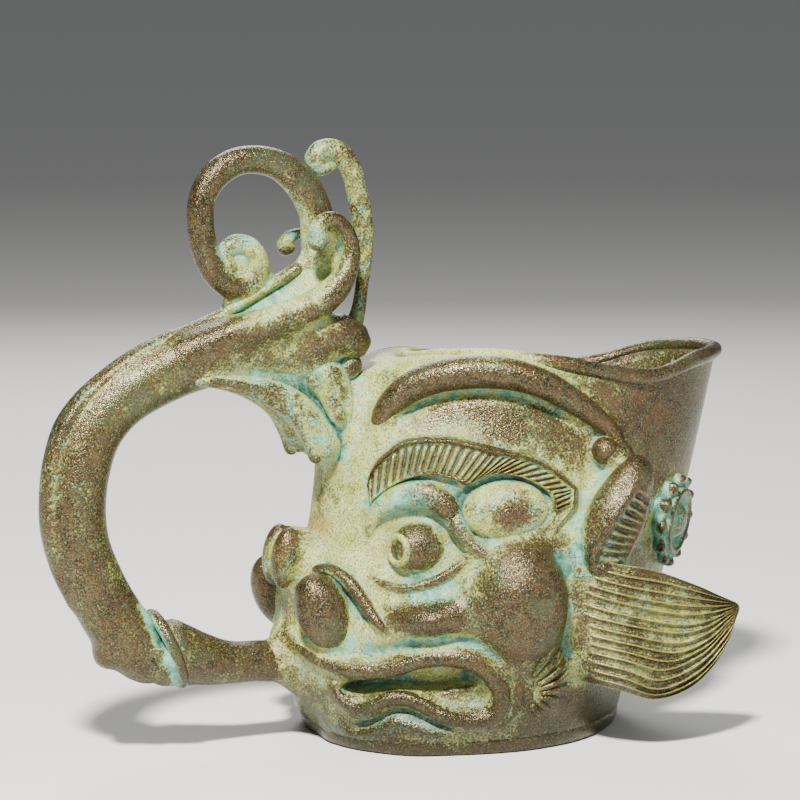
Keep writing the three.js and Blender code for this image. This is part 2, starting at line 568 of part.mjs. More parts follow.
// Ring of the head's outside at a height, with its swellings.
function headRing(z, sides) {
  const s = sectionAt(z);
  const ring = [];
  for (let j = 0; j < sides; j += 1) {
    const angle = (j / sides) * Math.PI * 2;
    const [cos, sin] = [Math.cos(angle), Math.sin(angle)];
    const ahead = cos < 0;
    const reach = ahead ? s.widest - s.front : s.rear - s.widest;
    const power = 2 / (ahead ? s.frontPower : s.rearPower);
    const x = s.widest + reach * Math.sign(cos) * Math.abs(cos) ** power;
    const y = s.half * Math.abs(sin) ** power;
    const side = Math.sign(sin) || 1;
    const out = outward(x, z);
    out.y *= LEFT * side;
    const fade = Math.min(y / MIDLINE_FADE, 1);
    ring.push(new THREE.Vector3(x, side * y, z).addScaledVector(out, swell(x, z) * fade));
  }
  return ring;
}

const footTop = FOOT_HEIGHT + SOLDER_GAP;

// Outside of the cup. Each column of points is squeezed so that it ends under the rolled edge.
function cupOutside(sides, rows) {
  const rings = [];
  for (let i = 0; i <= rows; i += 1) {
    rings.push(headRing(THREE.MathUtils.lerp(footTop, CROWN_HEIGHT, i / rows), sides));
  }
  rings.forEach((ring, i) => {
    ring.forEach((p, j) => {
      const edge = rimHeight(rings[rows][j].x, rings[rows][j].y) - RIM_RADIUS;
      const target = THREE.MathUtils.lerp(footTop, edge, i / rows);
      if (target < p.z) p.z = THREE.MathUtils.lerp(p.z, target, Math.min((i / rows) * 1.2, 1));
    });
  });
  return loft(rings);
}

function cavityRing({ z, front, share }, sides) {
  const s = sectionAt(z);
  const middle = (front + s.rear - WALL) / 2;
  const length = (s.rear - WALL - front) / 2;
  const half = s.half - CAVITY_SIDE_WALL;
  const ring = [];
  for (let j = 0; j < sides; j += 1) {
    const angle = (j / sides) * Math.PI * 2;
    ring.push(
      new THREE.Vector3(middle + Math.cos(angle) * length * share, Math.sin(angle) * half * share, z),
    );
  }
  return ring;
}

// The rolled edge of the mouth, a closed ring along the rim line.
function rim(around, sides) {
  const s = sectionAt(RIM_SECTION);
  const rings = [];
  for (let i = 0; i < around; i += 1) {
    const angle = (i / around) * Math.PI * 2;
    const out = new THREE.Vector3(Math.cos(angle), Math.sin(angle), 0);
    const reach = out.x < 0 ? s.widest - MOUTH_FRONT : s.rear - s.widest - WALL / 2;
    const x = s.widest + reach * out.x;
    const y = (s.half - WALL / 2 + RIM_FLARE) * out.y;
    const middle = new THREE.Vector3(x, y, rimHeight(x, y) - RIM_RADIUS);
    const ring = [];
    for (let j = 0; j < sides; j += 1) {
      const turn = (j / sides) * Math.PI * 2;
      const p = middle.clone().addScaledVector(out, Math.cos(turn) * RIM_RADIUS);
      ring.push(p.setZ(p.z + Math.sin(turn) * RIM_RADIUS));
    }
    rings.push(ring);
  }
  return loft(rings, true);
}

// The foot: a flat plate of the head's lowest section, drawn in a little underneath.
function foot(sides) {
  const bottom = headRing(0, sides).map((p) => new THREE.Vector3(p.x * 0.97 + 0.5, p.y * 0.97, 0));
  const top = headRing(0, sides).map((p) => p.setZ(FOOT_HEIGHT));
  return loft([bottom, top]);
}

// The brow: a crescent along its ribs, with a raised border and comb teeth across it.
function brow() {
  const last = BROW_RIBS.length - 1;
  const column = (k) => BROW_RIBS.map((rib, i) => [i / last, rib[k]]);
  const [outX, outZ, inX, inZ] = [0, 1, 2, 3].map(column);
  const at = (s, t) => {
    const outer = new THREE.Vector2(through(outX, s), through(outZ, s));
    const inner = new THREE.Vector2(through(inX, s), through(inZ, s));
    outer.addScaledVector(outer.clone().sub(inner).normalize(), BROW.margin);
    return outer.lerp(inner, t);
  };
  const heights = (s) => {
    const comb = Math.round(s * BROW.teeth * 2) % 2 ? BROW.tooth : BROW.groove;
    return [0.2, BROW.border, comb, comb * 0.8];
  };
  const shares = [0, BROW.crest, 0.34, 1];
  const taper = (s) => 0.4 + 0.6 * smoothstep(s, 0, 0.05) * smoothstep(1 - s, 0, 0.12);
  const top = (s, t) => {
    const k = Math.round(t * 3);
    const p = at(s, shares[k]);
    return skin(p.x, p.y, heights(s)[k] * taper(s));
  };
  const bottom = (s, t) => {
    const p = at(s, t);
    return skin(p.x, p.y, -BROW.sunk);
  };
  return slab(top, bottom, 3, BROW.teeth * 2);
}

function whiskers() {
  const strokes = WHISKERS.map(([from, over, to]) => {
    return chartBar([[...from, 0.6, 0.9], [...over, 0.8, 1.4], [...to, 0.5, 0.8]], 4, 2);
  });
  return strokes.reduce((joined, stroke) => joined.add(stroke), dome(WHISKER_PAD));
}

// Fan of locks through the ribs, from the cheek to the tip.
function mane() {
  const last = MANE_RIBS.length - 1;
  const lines = MANE_RIBS.map((rib, row) => {
    const share = Math.sin((Math.PI * row) / last);
    return rib.map(([x, z], k) => {
      const root = -halfWidth(x, z) - swell(x, z) * MANE.rootDepth;
      const y = k ? THREE.MathUtils.lerp(MANE_OUT.edge[k - 1], MANE_OUT.middle[k - 1], share) : root;
      return [x, y, z];
    });
  });
  const at = (s, t) => {
    const across = [0, 1, 2].map((axis) => {
      const knots = lines.map((line, row) => {
        return [row / last, through(line.map((p, k) => [k / (line.length - 1), p[axis]]), s)];
      });
      return through(knots, t);
    });
    return new THREE.Vector3(...across);
  };
  const outer = (s, t) => {
    const p = at(s, t);
    p.y += Math.round(t * MANE.locks * 2) % 2 ? 0 : MANE.furrow;
    return p;
  };
  const inner = (s, t) => {
    const p = at(s, t);
    const thick = MANE.thick * Math.sqrt(Math.sin(Math.PI * Math.sqrt(s))) + 1;
    p.y = Math.min(p.y + thick, MANE.inmost);
    return p;
  };
  return slab(outer, inner, MANE.locks * 2, 6);
}

// The ear's hollow: 1 inside its mouth and 0 outside it, at a share u of its length and an angle round it.
function earMouth(u, angle) {
  const wrapped = angle > Math.PI ? angle - Math.PI * 2 : angle;
  const front = 2.5 - u;
  const round = smoothstep(wrapped, 0, 0.3) * smoothstep(front - wrapped, 0, 0.25);
  return round * smoothstep(u, 0.1, 0.22) * smoothstep(0.86 - u, 0, 0.25);
}

function ear() {
  const curve = curveThrough(EAR_AXIS.map(([x, y, z]) => [x, y, z]));
  const last = EAR_AXIS.length - 1;
  const radii = EAR_AXIS.map((knot, i) => [i / last, knot[3]]);
  const rings = [];
  for (let i = 0; i <= EAR.rings; i += 1) {
    const u = i / EAR.rings;
    const middle = curve.getPoint(u);
    const along = curve.getTangent(u);
    const up = new THREE.Vector3(0, LEFT, 0).projectOnPlane(along).normalize();
    const across = new THREE.Vector3().crossVectors(along, up);
    const ring = [];
    for (let j = 0; j < EAR.sides; j += 1) {
      const angle = (j / EAR.sides) * Math.PI * 2;
      const size = through(radii, u) * (1 - EAR.hollow * earMouth(u, angle));
      const p = middle.clone().addScaledVector(across, Math.cos(angle) * size);
      ring.push(p.addScaledVector(up, Math.sin(angle) * size * EAR.flat));
    }
    rings.push(ring);
  }
  return loft(rings);
}

// One leaf of the crest: its rolled edge, and the hollow face from there to the middle plane.
function leaf() {
  const up = new THREE.Vector3(0, 1, 0);
  const knots = LEAF_RIDGE.map(([x, y, z, radius]) => {
    return { at: new THREE.Vector3(x, y, z), up, wide: radius, high: radius };
  });
  const outer = curveThrough(LEAF_RIDGE.slice(0, 10).map(([x, y, z]) => [x, y, z]));
  const inner = curveThrough(LEAF_INNER.map(([x, z]) => [x, -0.4, z]));
  const face = (s, t) => {
    const sag = 4 * t * (1 - t);
    return inner.getPoint(s).lerp(outer.getPoint(s), t).add(new THREE.Vector3(0.3 * sag, sag, -0.9 * sag));
  };
  const back = (s, t) => {
    const p = face(s, t);
    return new THREE.Vector3(p.x + 1.6, p.y * 0.35 + 0.5, p.z - 2.6);
  };
  return bar(knots, 6, 20).add(slab(face, back, 2, 9));
}

// The right leaf: the left one's mirror image with a lower, flatter curl.
function rightLeaf(left) {
  const { from, squash, drop } = RIGHT_LEAF;
  return left.mirror([0, 1, 0]).warp((p) => {
    p[2] = Math.min(p[2], from) + squash * Math.max(p[2] - from, 0) - drop;
  });
}

// Ring round the pupil: a small torus on the eyeball, facing forwards.
function pupil(middle) {
  const look = new THREE.Vector3(...PUPIL.look).normalize();
  const ring = new THREE.TorusGeometry(PUPIL.radius, PUPIL.tube, 4, 12);
  ring.applyQuaternion(new THREE.Quaternion().setFromUnitVectors(new THREE.Vector3(0, 0, 1), look));
  return solid(ring.translate(...middle.clone().addScaledVector(look, PUPIL.out)));
}

// A rosette: a lobed plate with a ring of knobs, a raised ring and a boss.
function rosette() {
  const { at: [x, z], radius, sunk } = ROSETTE;
  const out = outward(x, z);
  const across = new THREE.Vector3(0, 0, 1).cross(out).normalize();
  const up = new THREE.Vector3().crossVectors(out, across);
  const base = skin(x, z, 0);
  const steps = PETALS.count * 2;
  const levels = [[radius - PETALS.depth, -sunk], ...[...ROSETTE_PROFILE].reverse()];
  const rings = levels.map(([reach, height]) => {
    const ring = [];
    for (let i = 0; i < steps; i += 1) {
      const angle = (i / steps) * Math.PI * 2;
      const dent = PETALS.depth * 0.5 * (1 - Math.cos(angle * PETALS.count)) * smoothstep(reach, 8, radius);
      const knob = height > 0 ? 0.5 * Math.cos(angle * PETALS.count) * smoothstep(reach, 8, 9.4) : 0;
      const p = base.clone().addScaledVector(out, height + knob);
      p.addScaledVector(across, Math.cos(angle) * (reach - dent));
      ring.push(p.addScaledVector(up, Math.sin(angle) * (reach - dent)));
    }
    return ring;
  });
  return loft(rings);
}

// A cord of beads up the rear of the cup.
function beads() {
  const steps = BEADS.count * 3;
  const up = new THREE.Vector3(0, 1, 0);
  const knots = [];
  for (let i = 0; i <= steps; i += 1) {
    const z = THREE.MathUtils.lerp(BEADS.low, BEADS.high, i / steps);
    const size = BEADS.thin + BEADS.swell * Math.abs(Math.sin((i / 3) * Math.PI));
    knots.push({ at: new THREE.Vector3(sectionAt(z).rear + 0.2, 0, z), up, wide: size, high: size });
  }
  return bar(knots, 6, steps);
}

const eyeMiddle = skin(...EYE.at, -EYE.sunk);
const eyeLook = new THREE.Vector3(...PUPIL.look).normalize();
const eyeball = ball(eyeMiddle, [EYE.radius, EYE.long, EYE.radius], { facing: eyeLook, segments: 16 });
const noseLeft = ball(NOSE.at, NOSE.size, NOSE);
const round = (at, radius, segments) => ball(at, [radius, radius, radius], { segments });
const hornCurl = round(skin(...HORN_CURL.at, -HORN_CURL.sunk), HORN_CURL.radius, 9);
const horn = chartBar(HORN, 7, 18).add(hornCurl);
const earLeaf = ear();
const sideForms = [dome(CHEEK), ball(MANE_ROOT.at, MANE_ROOT.size, MANE_ROOT)];
const noseRoot = ball(NOSE_ROOT.at, NOSE_ROOT.size);
const outside = [...sideForms, ...sideForms.map((form) => form.mirror([0, 1, 0]))].reduce(
  (joined, form) => joined.add(form),
  cupOutside(64, 24).add(noseRoot),
);
const cavity = loft(CAVITY.map((level) => cavityRing(level, 24)));
const crestLeaf = leaf();
const lobes = planeBar(LOBE, { steps: 6, y: LEFT * LOBE_Y })
  .add(planeBar(LOBE_LOW, { steps: 4, y: LEFT * LOBE_LOW_Y }));
const buds = planeBar(BUD, { sides: 7, steps: 10, y: LEFT * BUD_Y })
  .add(planeBar(BUD_EDGE, { sides: 5, steps: 8, y: LEFT * BUD_EDGE_Y }))
  .add(planeBar(BUD_SMALL, { sides: 6, steps: 5, y: LEFT * BUD_SMALL_Y }));
const ringScroll = planeBar(RING_SCROLL, { steps: 30 }).add(round(RING_EYE.at, RING_EYE.radius, 8));
const tendril = planeBar(TENDRIL, { sides: 6, steps: 20 }).add(round(TENDRIL_EYE.at, TENDRIL_EYE.radius, 8));

place("foot_plate", "worn", foot(44));
place("cup_body", "patina", outside.subtract(cavity), outside);
place("mouth_rim", "worn", rim(32, 6));
place("tongue", "worn", planeBar(TONGUE, { sides: 12, steps: 14 }));
place("handle", "worn", planeBar(HANDLE, { sides: 10, steps: 26 }));
place("handle_neck", "patina", planeBar(NECK, { flat: 1.2, steps: 6 }));
place("handle_spine", "verdigris", planeBar(SPINE, { flat: 1.5, sides: 6, steps: 18 }));
placePair("crest_lobe", "worn", lobes);
place("crest_leaf_left", "worn", crestLeaf);
place("crest_leaf_right", "worn", rightLeaf(crestLeaf));
place("ring_scroll", "worn", ringScroll);
place("tendril_scroll", "worn", tendril);
placePair("handle_bud", "verdigris", buds);
place("nose_lobe", "patina", noseLeft.add(noseLeft.mirror([0, 1, 0])));
placePair("nostril", "worn", ball(NOSTRIL.at, NOSTRIL.size, NOSTRIL));
placePair("nostril_curl", "worn", chartBar(NOSTRIL_CURL, 6, 10));
placePair("eye", "worn", eyeball);
placePair("pupil_ring", "patina", pupil(eyeMiddle));
placePair("upper_lid", "patina", chartBar(LID_UPPER, 6, 14));
placePair("lower_lid", "patina", chartBar(LID_LOWER, 6, 10));
placePair("temple_boss", "patina", dome(TEMPLE_BOSS));
placePair("brow", "worn", brow());
place("horn_left", "worn", horn);
place("horn_right", "worn", horn.mirror([0, 1, 0]).translate(0, 0, -RIGHT_HORN_DROP));
placePair("lips", "worn", chartBar(LIPS, 6, 27));
placePair("whiskers", "patina", whiskers());
place("ear_left", "worn", earLeaf);
place("ear_right", "worn", earLeaf.mirror([0, 1, 0]));
placePair("mane", "patina", mane());
placePair("rosette", "verdigris", rosette());
place("back_beads", "verdigris", beads());

export default goblet;
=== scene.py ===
# %% [markdown]
# # A bronze goblet shaped as a beast's head
# The cup is an old casting: a snarling head, open at the top, whose tongue grows into a loop handle that
# ends in scrolls over the forehead. The metal is rubbed brown where hands touch it, and green in the
# hollows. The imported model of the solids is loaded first. Every piece made here stands for one of them.
# %% Load the solids
import json
import bpy
import numpy as np
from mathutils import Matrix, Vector

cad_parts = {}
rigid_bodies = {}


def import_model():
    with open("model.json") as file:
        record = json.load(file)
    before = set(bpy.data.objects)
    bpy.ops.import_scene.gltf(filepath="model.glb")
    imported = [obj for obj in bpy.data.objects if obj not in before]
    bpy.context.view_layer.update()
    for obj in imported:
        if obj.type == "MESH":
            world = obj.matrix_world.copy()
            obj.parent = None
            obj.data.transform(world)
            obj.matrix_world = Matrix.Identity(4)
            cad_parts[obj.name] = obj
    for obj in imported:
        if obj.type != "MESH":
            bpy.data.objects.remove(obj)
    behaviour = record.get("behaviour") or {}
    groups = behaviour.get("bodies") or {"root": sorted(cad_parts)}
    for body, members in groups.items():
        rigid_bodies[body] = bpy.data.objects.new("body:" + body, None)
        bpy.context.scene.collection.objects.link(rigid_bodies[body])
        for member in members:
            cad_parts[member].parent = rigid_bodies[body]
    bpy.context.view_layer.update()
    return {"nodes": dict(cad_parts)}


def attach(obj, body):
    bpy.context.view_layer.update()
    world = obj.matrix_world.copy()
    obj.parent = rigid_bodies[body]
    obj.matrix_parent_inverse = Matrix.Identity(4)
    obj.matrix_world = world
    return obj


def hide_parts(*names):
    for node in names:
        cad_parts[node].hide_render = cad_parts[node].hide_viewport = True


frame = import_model()
print("solids:", len(frame["nodes"]))

# %% [markdown]
# The camera stands where the photographer stood: 24 degrees round from the beast's left side towards its
# face, a little above the rim, with a long lens. A pale floor and three soft lights make a plain studio.
# %% Camera, floor and lights
AZIMUTH, ELEVATION, DISTANCE = np.radians(24.0), np.radians(7.0), 0.613
LOOK_AT = Vector((0.002, 0.0, 0.077))
BACK = Vector((
    -np.sin(AZIMUTH) * np.cos(ELEVATION),
    -np.cos(AZIMUTH) * np.cos(ELEVATION),
    np.sin(ELEVATION),
))


def aim(thing, place, target):
    """Puts a camera or light at a place and turns it to look at the target."""
    thing.location = place
    thing.rotation_mode = "QUATERNION"
    thing.rotation_quaternion = (Vector(target) - Vector(place)).to_track_quat("-Z", "Y")
    bpy.context.scene.collection.objects.link(thing)


lens = bpy.data.cameras.new("photo_camera")
lens.lens, lens.sensor_width = 120.0, 36.0
camera = bpy.data.objects.new("photo_camera", lens)
aim(camera, LOOK_AT + BACK * DISTANCE, LOOK_AT)
bpy.context.scene.camera = camera


def soft_light(name, place, target, width, power, colour):
    """Square lamp, width metres across."""
    light = bpy.data.lights.new(name, "AREA")
    light.size, light.energy, light.color = width, power, colour
    aim(bpy.data.objects.new(name, light), place, target)


soft_light("key", (-0.36, -0.5, 0.8), (0, 0, 0.06), 0.1, 32.0, (1.0, 0.97, 0.9))
soft_light("fill", (0.55, -0.7, 0.35), (0, 0, 0.05), 0.5, 1.8, (0.93, 0.97, 1.0))
soft_light("back", (0.2, 0.7, 0.6), (0, 0, 0.07), 0.4, 5.0, (1.0, 0.98, 0.95))
world = bpy.data.worlds.new("studio")
world.use_nodes = True
world.node_tree.nodes["Background"].inputs["Color"].default_value = (0.82, 0.84, 0.86, 1)
world.node_tree.nodes["Background"].inputs["Strength"].default_value = 0.19
bpy.context.scene.world = world
print("camera at", [round(v, 3) for v in camera.location])

# %% [markdown]
# Lengths below are millimetres, because a maker measures a cup in them. All shapes are numpy arrays of
# points, and they become meshes in metres at the end.
# The first helper is a smooth curve through knots. Every table of sizes in this file is read through it.
# %% Smooth curves
MM = 0.001


def through(places, values, at):
    """On each span a cubic, whose end slopes are the slopes between the knots on either side."""
    places, values = np.asarray(places, float), np.asarray(values, float)
    last = len(places) - 1
    t = np.clip(at, places[0], places[last])
    i = np.clip(np.searchsorted(places, t, side="right") - 1, 0, last - 1)
    before, after = np.maximum(np.arange(last + 1) - 1, 0), np.minimum(np.arange(last + 1) + 1, last)
    spread = (...,) + (None,) * (values.ndim - 1)
    slope = (values[after] - values[before]) / (places[after] - places[before])[spread]
    span = (places[i + 1] - places[i])[spread]
    s = (t - places[i])[spread] / span
    return (
        (2 * s**3 - 3 * s**2 + 1) * values[i]
        + (s**3 - 2 * s**2 + s) * span * slope[i]
        + (3 * s**2 - 2 * s**3) * values[i + 1]
        + (s**3 - s**2) * span * slope[i + 1]
    )


def unit(v):
    """Vectors made 1 long."""
    return v / np.maximum(np.linalg.norm(v, axis=-1, keepdims=True), 1e-12)


def smooth(at, low, high):
    """0 below low, 1 above high, and an S between."""
    s = np.clip((at - low) / (high - low), 0, 1)
    return s * s * (3 - 2 * s)


def walk(knots, step, round_ends=(0, 0)):
    """Rows along the smooth curve through the knots, one every step mm, and closer near a rounded end.

    A row holds what a knot holds, x, y and z first."""
    knots = np.asarray(knots, float)
    chord = np.r_[0, np.cumsum(np.linalg.norm(np.diff(knots[:, :3], axis=0), axis=1))]
    fine = through(chord, knots, np.linspace(0, chord[-1], 600))
    run = np.r_[0, np.cumsum(np.linalg.norm(np.diff(fine[:, :3], axis=0), axis=1))]
    ease = 1 - np.cos(np.linspace(0, np.pi / 2, 9))
    start, end = round_ends[0] * ease, run[-1] - round_ends[1] * ease[::-1]
    middle = np.linspace(start[-1], end[0], max(int((end[0] - start[-1]) / step), 2) + 1)
    at = np.unique(np.round(np.r_[start, middle, end], 6))
    return np.stack([np.interp(at, run, column) for column in fine.T], 1)


# %% [markdown]
# ## The head
# The head is an egg-like shell. Each level is an egg whose ends are superellipses, and the eggs grow and
# move back from the chin to the mouth of the cup. Soft muscles and folds are added on top of that skin.
# The face is drawn on a chart of the left side, seen flat from the side: a place is (x, z).
# %% Sections of the head
# height, front, rear, where it is widest, half width there, power of the front end, power of the rear end
HEAD = np.array([
    [0, -18, 55, 18, 31, 2.1, 2.0],
    [5, -20, 57, 19, 33, 2.0, 2.0],
    [14, -26.5, 60, 21, 35, 1.8, 2.0],
    [24, -27, 63.5, 23, 36.5, 1.75, 2.0],
    [36, -26, 67, 25, 36.5, 1.75, 2.0],
    [46, -20.6, 70.5, 28, 35, 1.8, 2.0],
    [56, -18.6, 74, 31, 33, 1.85, 2.0],
    [68, -17, 77.5, 35, 31, 1.9, 2.0],
    [78, -14, 80.5, 39, 30, 1.75, 1.9],
    [92, -10, 84.5, 42, 30.5, 1.5, 1.75],
])
WALL, SIDE_WALL, FOOT_TOP = 3.4, 4.0, 3.3
RIM_RADIUS, RIM_FLARE, RIM_SECTION, MOUTH_FRONT = 1.8, 0.6, 88.0, 5.0
# the edge of the mouth: x and height
RIM_LEFT = np.array([
    [-14, 84], [-8, 85.8], [0, 87.6], [8, 89.8], [18, 90.1], [29, 88.8], [39, 86.6],
    [46, 85.3], [51, 84.9], [57, 85.6], [65, 87.4], [72, 88.2], [78, 88.4], [86, 88.4],
])
RIM_RIGHT = np.array([
    [-14, 84], [-8, 85.6], [0, 87.0], [8, 87.4], [18, 86.2], [29, 84.2],
    [39, 82.2], [50, 81.2], [60, 81.6], [68, 83.4], [76, 86.6], [86, 88.4],
])


def rim_height(x, y):
    """The edge of the mouth stands higher on the left side than on the right one."""
    right = smooth(y, -12, 12)
    left = through(RIM_LEFT[:, 0], RIM_LEFT[:, 1], x)
    return left * (1 - right) + through(RIM_RIGHT[:, 0], RIM_RIGHT[:, 1], x) * right


def section(z):
    """Front, rear, widest place, half width and the two powers at a height."""
    return np.moveaxis(through(HEAD[:, 0], HEAD[:, 1:], z), -1, 0)


def half_width(x, z):
    """Half width of the egg: half * (1 - share ** power) ** (1 / power), share from the widest place."""
    front, rear, widest, half, front_power, rear_power = section(z)
    ahead = x < widest
    reach = np.where(ahead, widest - front, rear - widest)
    power = np.where(ahead, front_power, rear_power)
    share = np.minimum(np.abs(x - widest) / reach, 1)
    return half * np.maximum(1 - share**power, 0) ** (1 / power)


def outward(x, z):
    """Direction square to the left side, from differences of the half width."""
    x, z = np.asarray(x, float), np.asarray(z, float)
    h = 0.2
    along_x = (half_width(x + h, z) - half_width(x - h, z)) / (2 * h)
    along_z = (half_width(x, z + h) - half_width(x, z - h)) / (2 * h)
    return unit(np.stack([-along_x, -np.ones_like(along_x), -along_z], -1))


print("the head is", round(float(half_width(25.0, 30.0)) * 2, 1), "mm wide")

# %% [markdown]
# Under a beast's skin lie muscles, and the caster modelled them in wax. Here a muscle is a round Gaussian
# swelling. A fold is a Gaussian ridge or groove along a line on the chart, such as the crease behind the
# cheek or the wrinkles of the chin. The mouth is a slit between two lines, sunk into the skin.
# %% Muscles and folds
# x, z, half length, half height, turn in degrees, height
MUSCLES = np.array([
    [16.5, 37, 12.5, 13.5, 0, 6],
    [-3.8, 31.6, 6.4, 4.2, 6, 5.6],
    [-3, 47, 11, 9, 0, -1.5],
    [12, 62, 16, 8, -15, 1.5],
    [2, 16, 15, 5, 3, -1.5],
    [-14, 5, 12, 5, 0, 1.5],
    [28, 24, 4, 14, -10, -2],
    [46, 16, 12, 12, 0, -3],
    [36, 50, 8, 10, -20, 2],
    [-6, 1.5, 6, 3.2, 0, 1.3],
    [24.5, 15.5, 4.6, 8, -20, 1.6],
])
# height, half width, line
FOLDS = {
    "crease behind the cheek": (-3.0, 1.9, [
        (21.5, 47), (25.2, 42.4), (26.2, 37), (26.8, 32), (27.2, 26), (28, 20)]),
    "groove under the lip": (-1.3, 1.0, [
        (-17, 8), (-14, 7.1), (-10.8, 10), (-8, 10.3), (-2.3, 8.2), (3, 6.6)]),
    "ridge of the chin": (1.1, 1.2, [
        (-19, 8), (-15.3, 4.9), (-11.5, 7), (-9.2, 8.2), (-3.7, 6.4), (4, 4.8)]),
    "fold above the lip": (-1.3, 1.5, [
        (-19, 23.4), (-14, 23.6), (-9, 25), (-4, 26.6), (2, 27), (8, 25), (12.5, 21)]),
    "fold beside the mouth": (1.0, 1.4, [(14.6, 18), (15.4, 13.6), (14, 9.4), (10.4, 6)]),
    "groove beside the mouth": (-1.0, 1.1, [(13.0, 19.6), (13.6, 14), (12.4, 9.6), (9, 6.4)]),
    "groove under the horn": (-1.6, 1.5, [
        (-6.4, 73), (-3, 76.9), (0.6, 79), (6.2, 80.6), (12.4, 81), (19.3, 80), (26, 77.2), (32.4, 73.6)]),
    "recess by the nostril": (-1.2, 1.4, [(-19.4, 37.4), (-16.6, 34), (-15, 30)]),
    "groove over the boss": (-1.2, 1.0, [
        (3.4, 50.6), (3.6, 55), (6.2, 59.4), (10, 61.4), (14, 62), (18.6, 61.2), (22, 58.8), (23.6, 55)]),
    "dip of the lower lid": (-0.8, 1.6, [(-11, 35.2), (-6, 35), (-1, 36.4), (4, 40)]),
}
# the slit of the mouth: x and z of its upper and lower edge
SLIT_TOP = np.array([
    (-20.4, 15.6), (-16.6, 17.3), (-13.7, 18.0), (-9.8, 19.4), (-5.8, 20.6), (-1.6, 21.0), (2.8, 20.4),
    (6.1, 19.2), (8.6, 17.4),
])
SLIT_LOW = np.array([
    (-20.4, 14.4), (-17.5, 13.6), (-13.9, 14.3), (-10, 15.2), (-5.8, 14.6), (-3.2, 14.4), (0.9, 15.0),
    (5.6, 16.2), (8.6, 16.9),
])
SLIT_DEPTH, GUM_DEPTH = 5.0, 0.7


def line_distance(points, line):
    """Distance of points from a bent line, and how far along the line the nearest place is, from 0 to 1."""
    line = np.asarray(line, float)
    a, ab = line[:-1], np.diff(line, axis=0)
    lengths = np.linalg.norm(ab, axis=1)
    before = np.r_[0, np.cumsum(lengths)][:-1]
    gap = points[..., None, :] - a
    h = np.clip((gap * ab).sum(-1) / (ab * ab).sum(-1), 0, 1)
    away = np.linalg.norm(gap - h[..., None] * ab, axis=-1)
    nearest = away.argmin(-1)
    pick = np.take_along_axis
    distance = pick(away, nearest[..., None], -1)[..., 0]
    along = pick(before + h * lengths, nearest[..., None], -1)[..., 0] / lengths.sum()
    return distance, along


def curve_places(knots):
    """Places on the smooth curve through chart knots."""
    knots = np.asarray(knots, float)
    chord = np.r_[0, np.cumsum(np.linalg.norm(np.diff(knots[:, :2], axis=0), axis=1))]
    return through(chord, knots, np.linspace(0, chord[-1], 40))


def spot(x, z, patch):
    """1 in the middle of a patch, falling off as a Gaussian over its two half sizes."""
    middle_x, middle_z, half_long, half_high, turn = patch
    c, s = np.cos(np.radians(turn)), np.sin(np.radians(turn))
    a = ((x - middle_x) * c + (z - middle_z) * s) / half_long
    b = ((z - middle_z) * c - (x - middle_x) * s) / half_high
    return np.exp(-(a * a + b * b))


def relief(x, z):
    """Height of the muscles, the folds and the slit of the mouth over the plain skin."""
    x, z = np.broadcast_arrays(np.asarray(x, float), np.asarray(z, float))
    total = np.zeros(x.shape)
    for *patch, height in MUSCLES:
        total += height * spot(x, z, patch)
    places = np.stack([x, z], -1)
    for height, width, line in FOLDS.values():
        line = curve_places(line)
        low, high = line.min(0) - 3 * width, line.max(0) + 3 * width
        near = ((places > low) & (places < high)).all(-1)
        away, along = line_distance(places[near], line)
        fade = smooth(along, 0, 0.15) * smooth(1 - along, 0, 0.15)
        total[near] += height * fade * np.exp(-((away / width) ** 2))
    # the slit fades out at its edges and at the corners of the mouth, and the gum lies under it
    top, low = (through(edge[:, 0], edge[:, 1], x) for edge in (SLIT_TOP, SLIT_LOW))
    inside = smooth(z, low - 0.3, low + 0.9) * smooth(top - z, -0.3, 1.2)
    inside *= smooth(x, -20.6, -18.5) * smooth(8.8 - x, 0, 5)
    gum = smooth(z, 9, 12.5) * smooth(low - z, -1.5, 1.0) * smooth(x, -19, -16) * smooth(10 - x, 0, 4)
    return total - SLIT_DEPTH * inside - GUM_DEPTH * gum


def skin(x, z, height=0.0):
    """Place on the left side, height mm above the skin with its muscles."""
    x, z = np.asarray(x, float), np.asarray(z, float)
    base = np.stack([x, -half_width(x, z), z], -1)
    return base + outward(x, z) * np.asarray(relief(x, z) + height)[..., None]


print("folds:", ", ".join(FOLDS))

# %% [markdown]
# ## Forms that stand on the head
# A casting has no sharp inside corners. To get that, each limb of the face is known in two ways: as a piece
# of its own, and as a distance from any point of space. The distance is taken to a slightly smaller limb,
# so that the skin stays under the piece.
# %% Distances to tubes and eggs
class Tube:
    """Distance from a bent bar with a round section: rows of x, y, z and radius. blend is its fillet."""

    def __init__(self, rows, blend, shrink=0.35):
        self.rows, self.blend, self.shrink = np.asarray(rows, float)[:, :4], blend, shrink
        reach = self.rows[:, 3:].max()
        self.low, self.high = self.rows[:, :3].min(0) - reach, self.rows[:, :3].max(0) + reach

    def away(self, points):
        """Distance from the nearest of the bar's straight parts, less the radius at the nearest place."""
        a, ab = self.rows[:-1, :3], np.diff(self.rows[:, :3], axis=0)
        gap = points[:, None, :] - a
        h = np.clip((gap * ab).sum(-1) / np.maximum((ab * ab).sum(-1), 1e-9), 0, 1)
        radius = self.rows[:-1, 3] + h * np.diff(self.rows[:, 3])
        return (np.linalg.norm(gap - h[..., None] * ab, axis=-1) - radius).min(1) + self.shrink


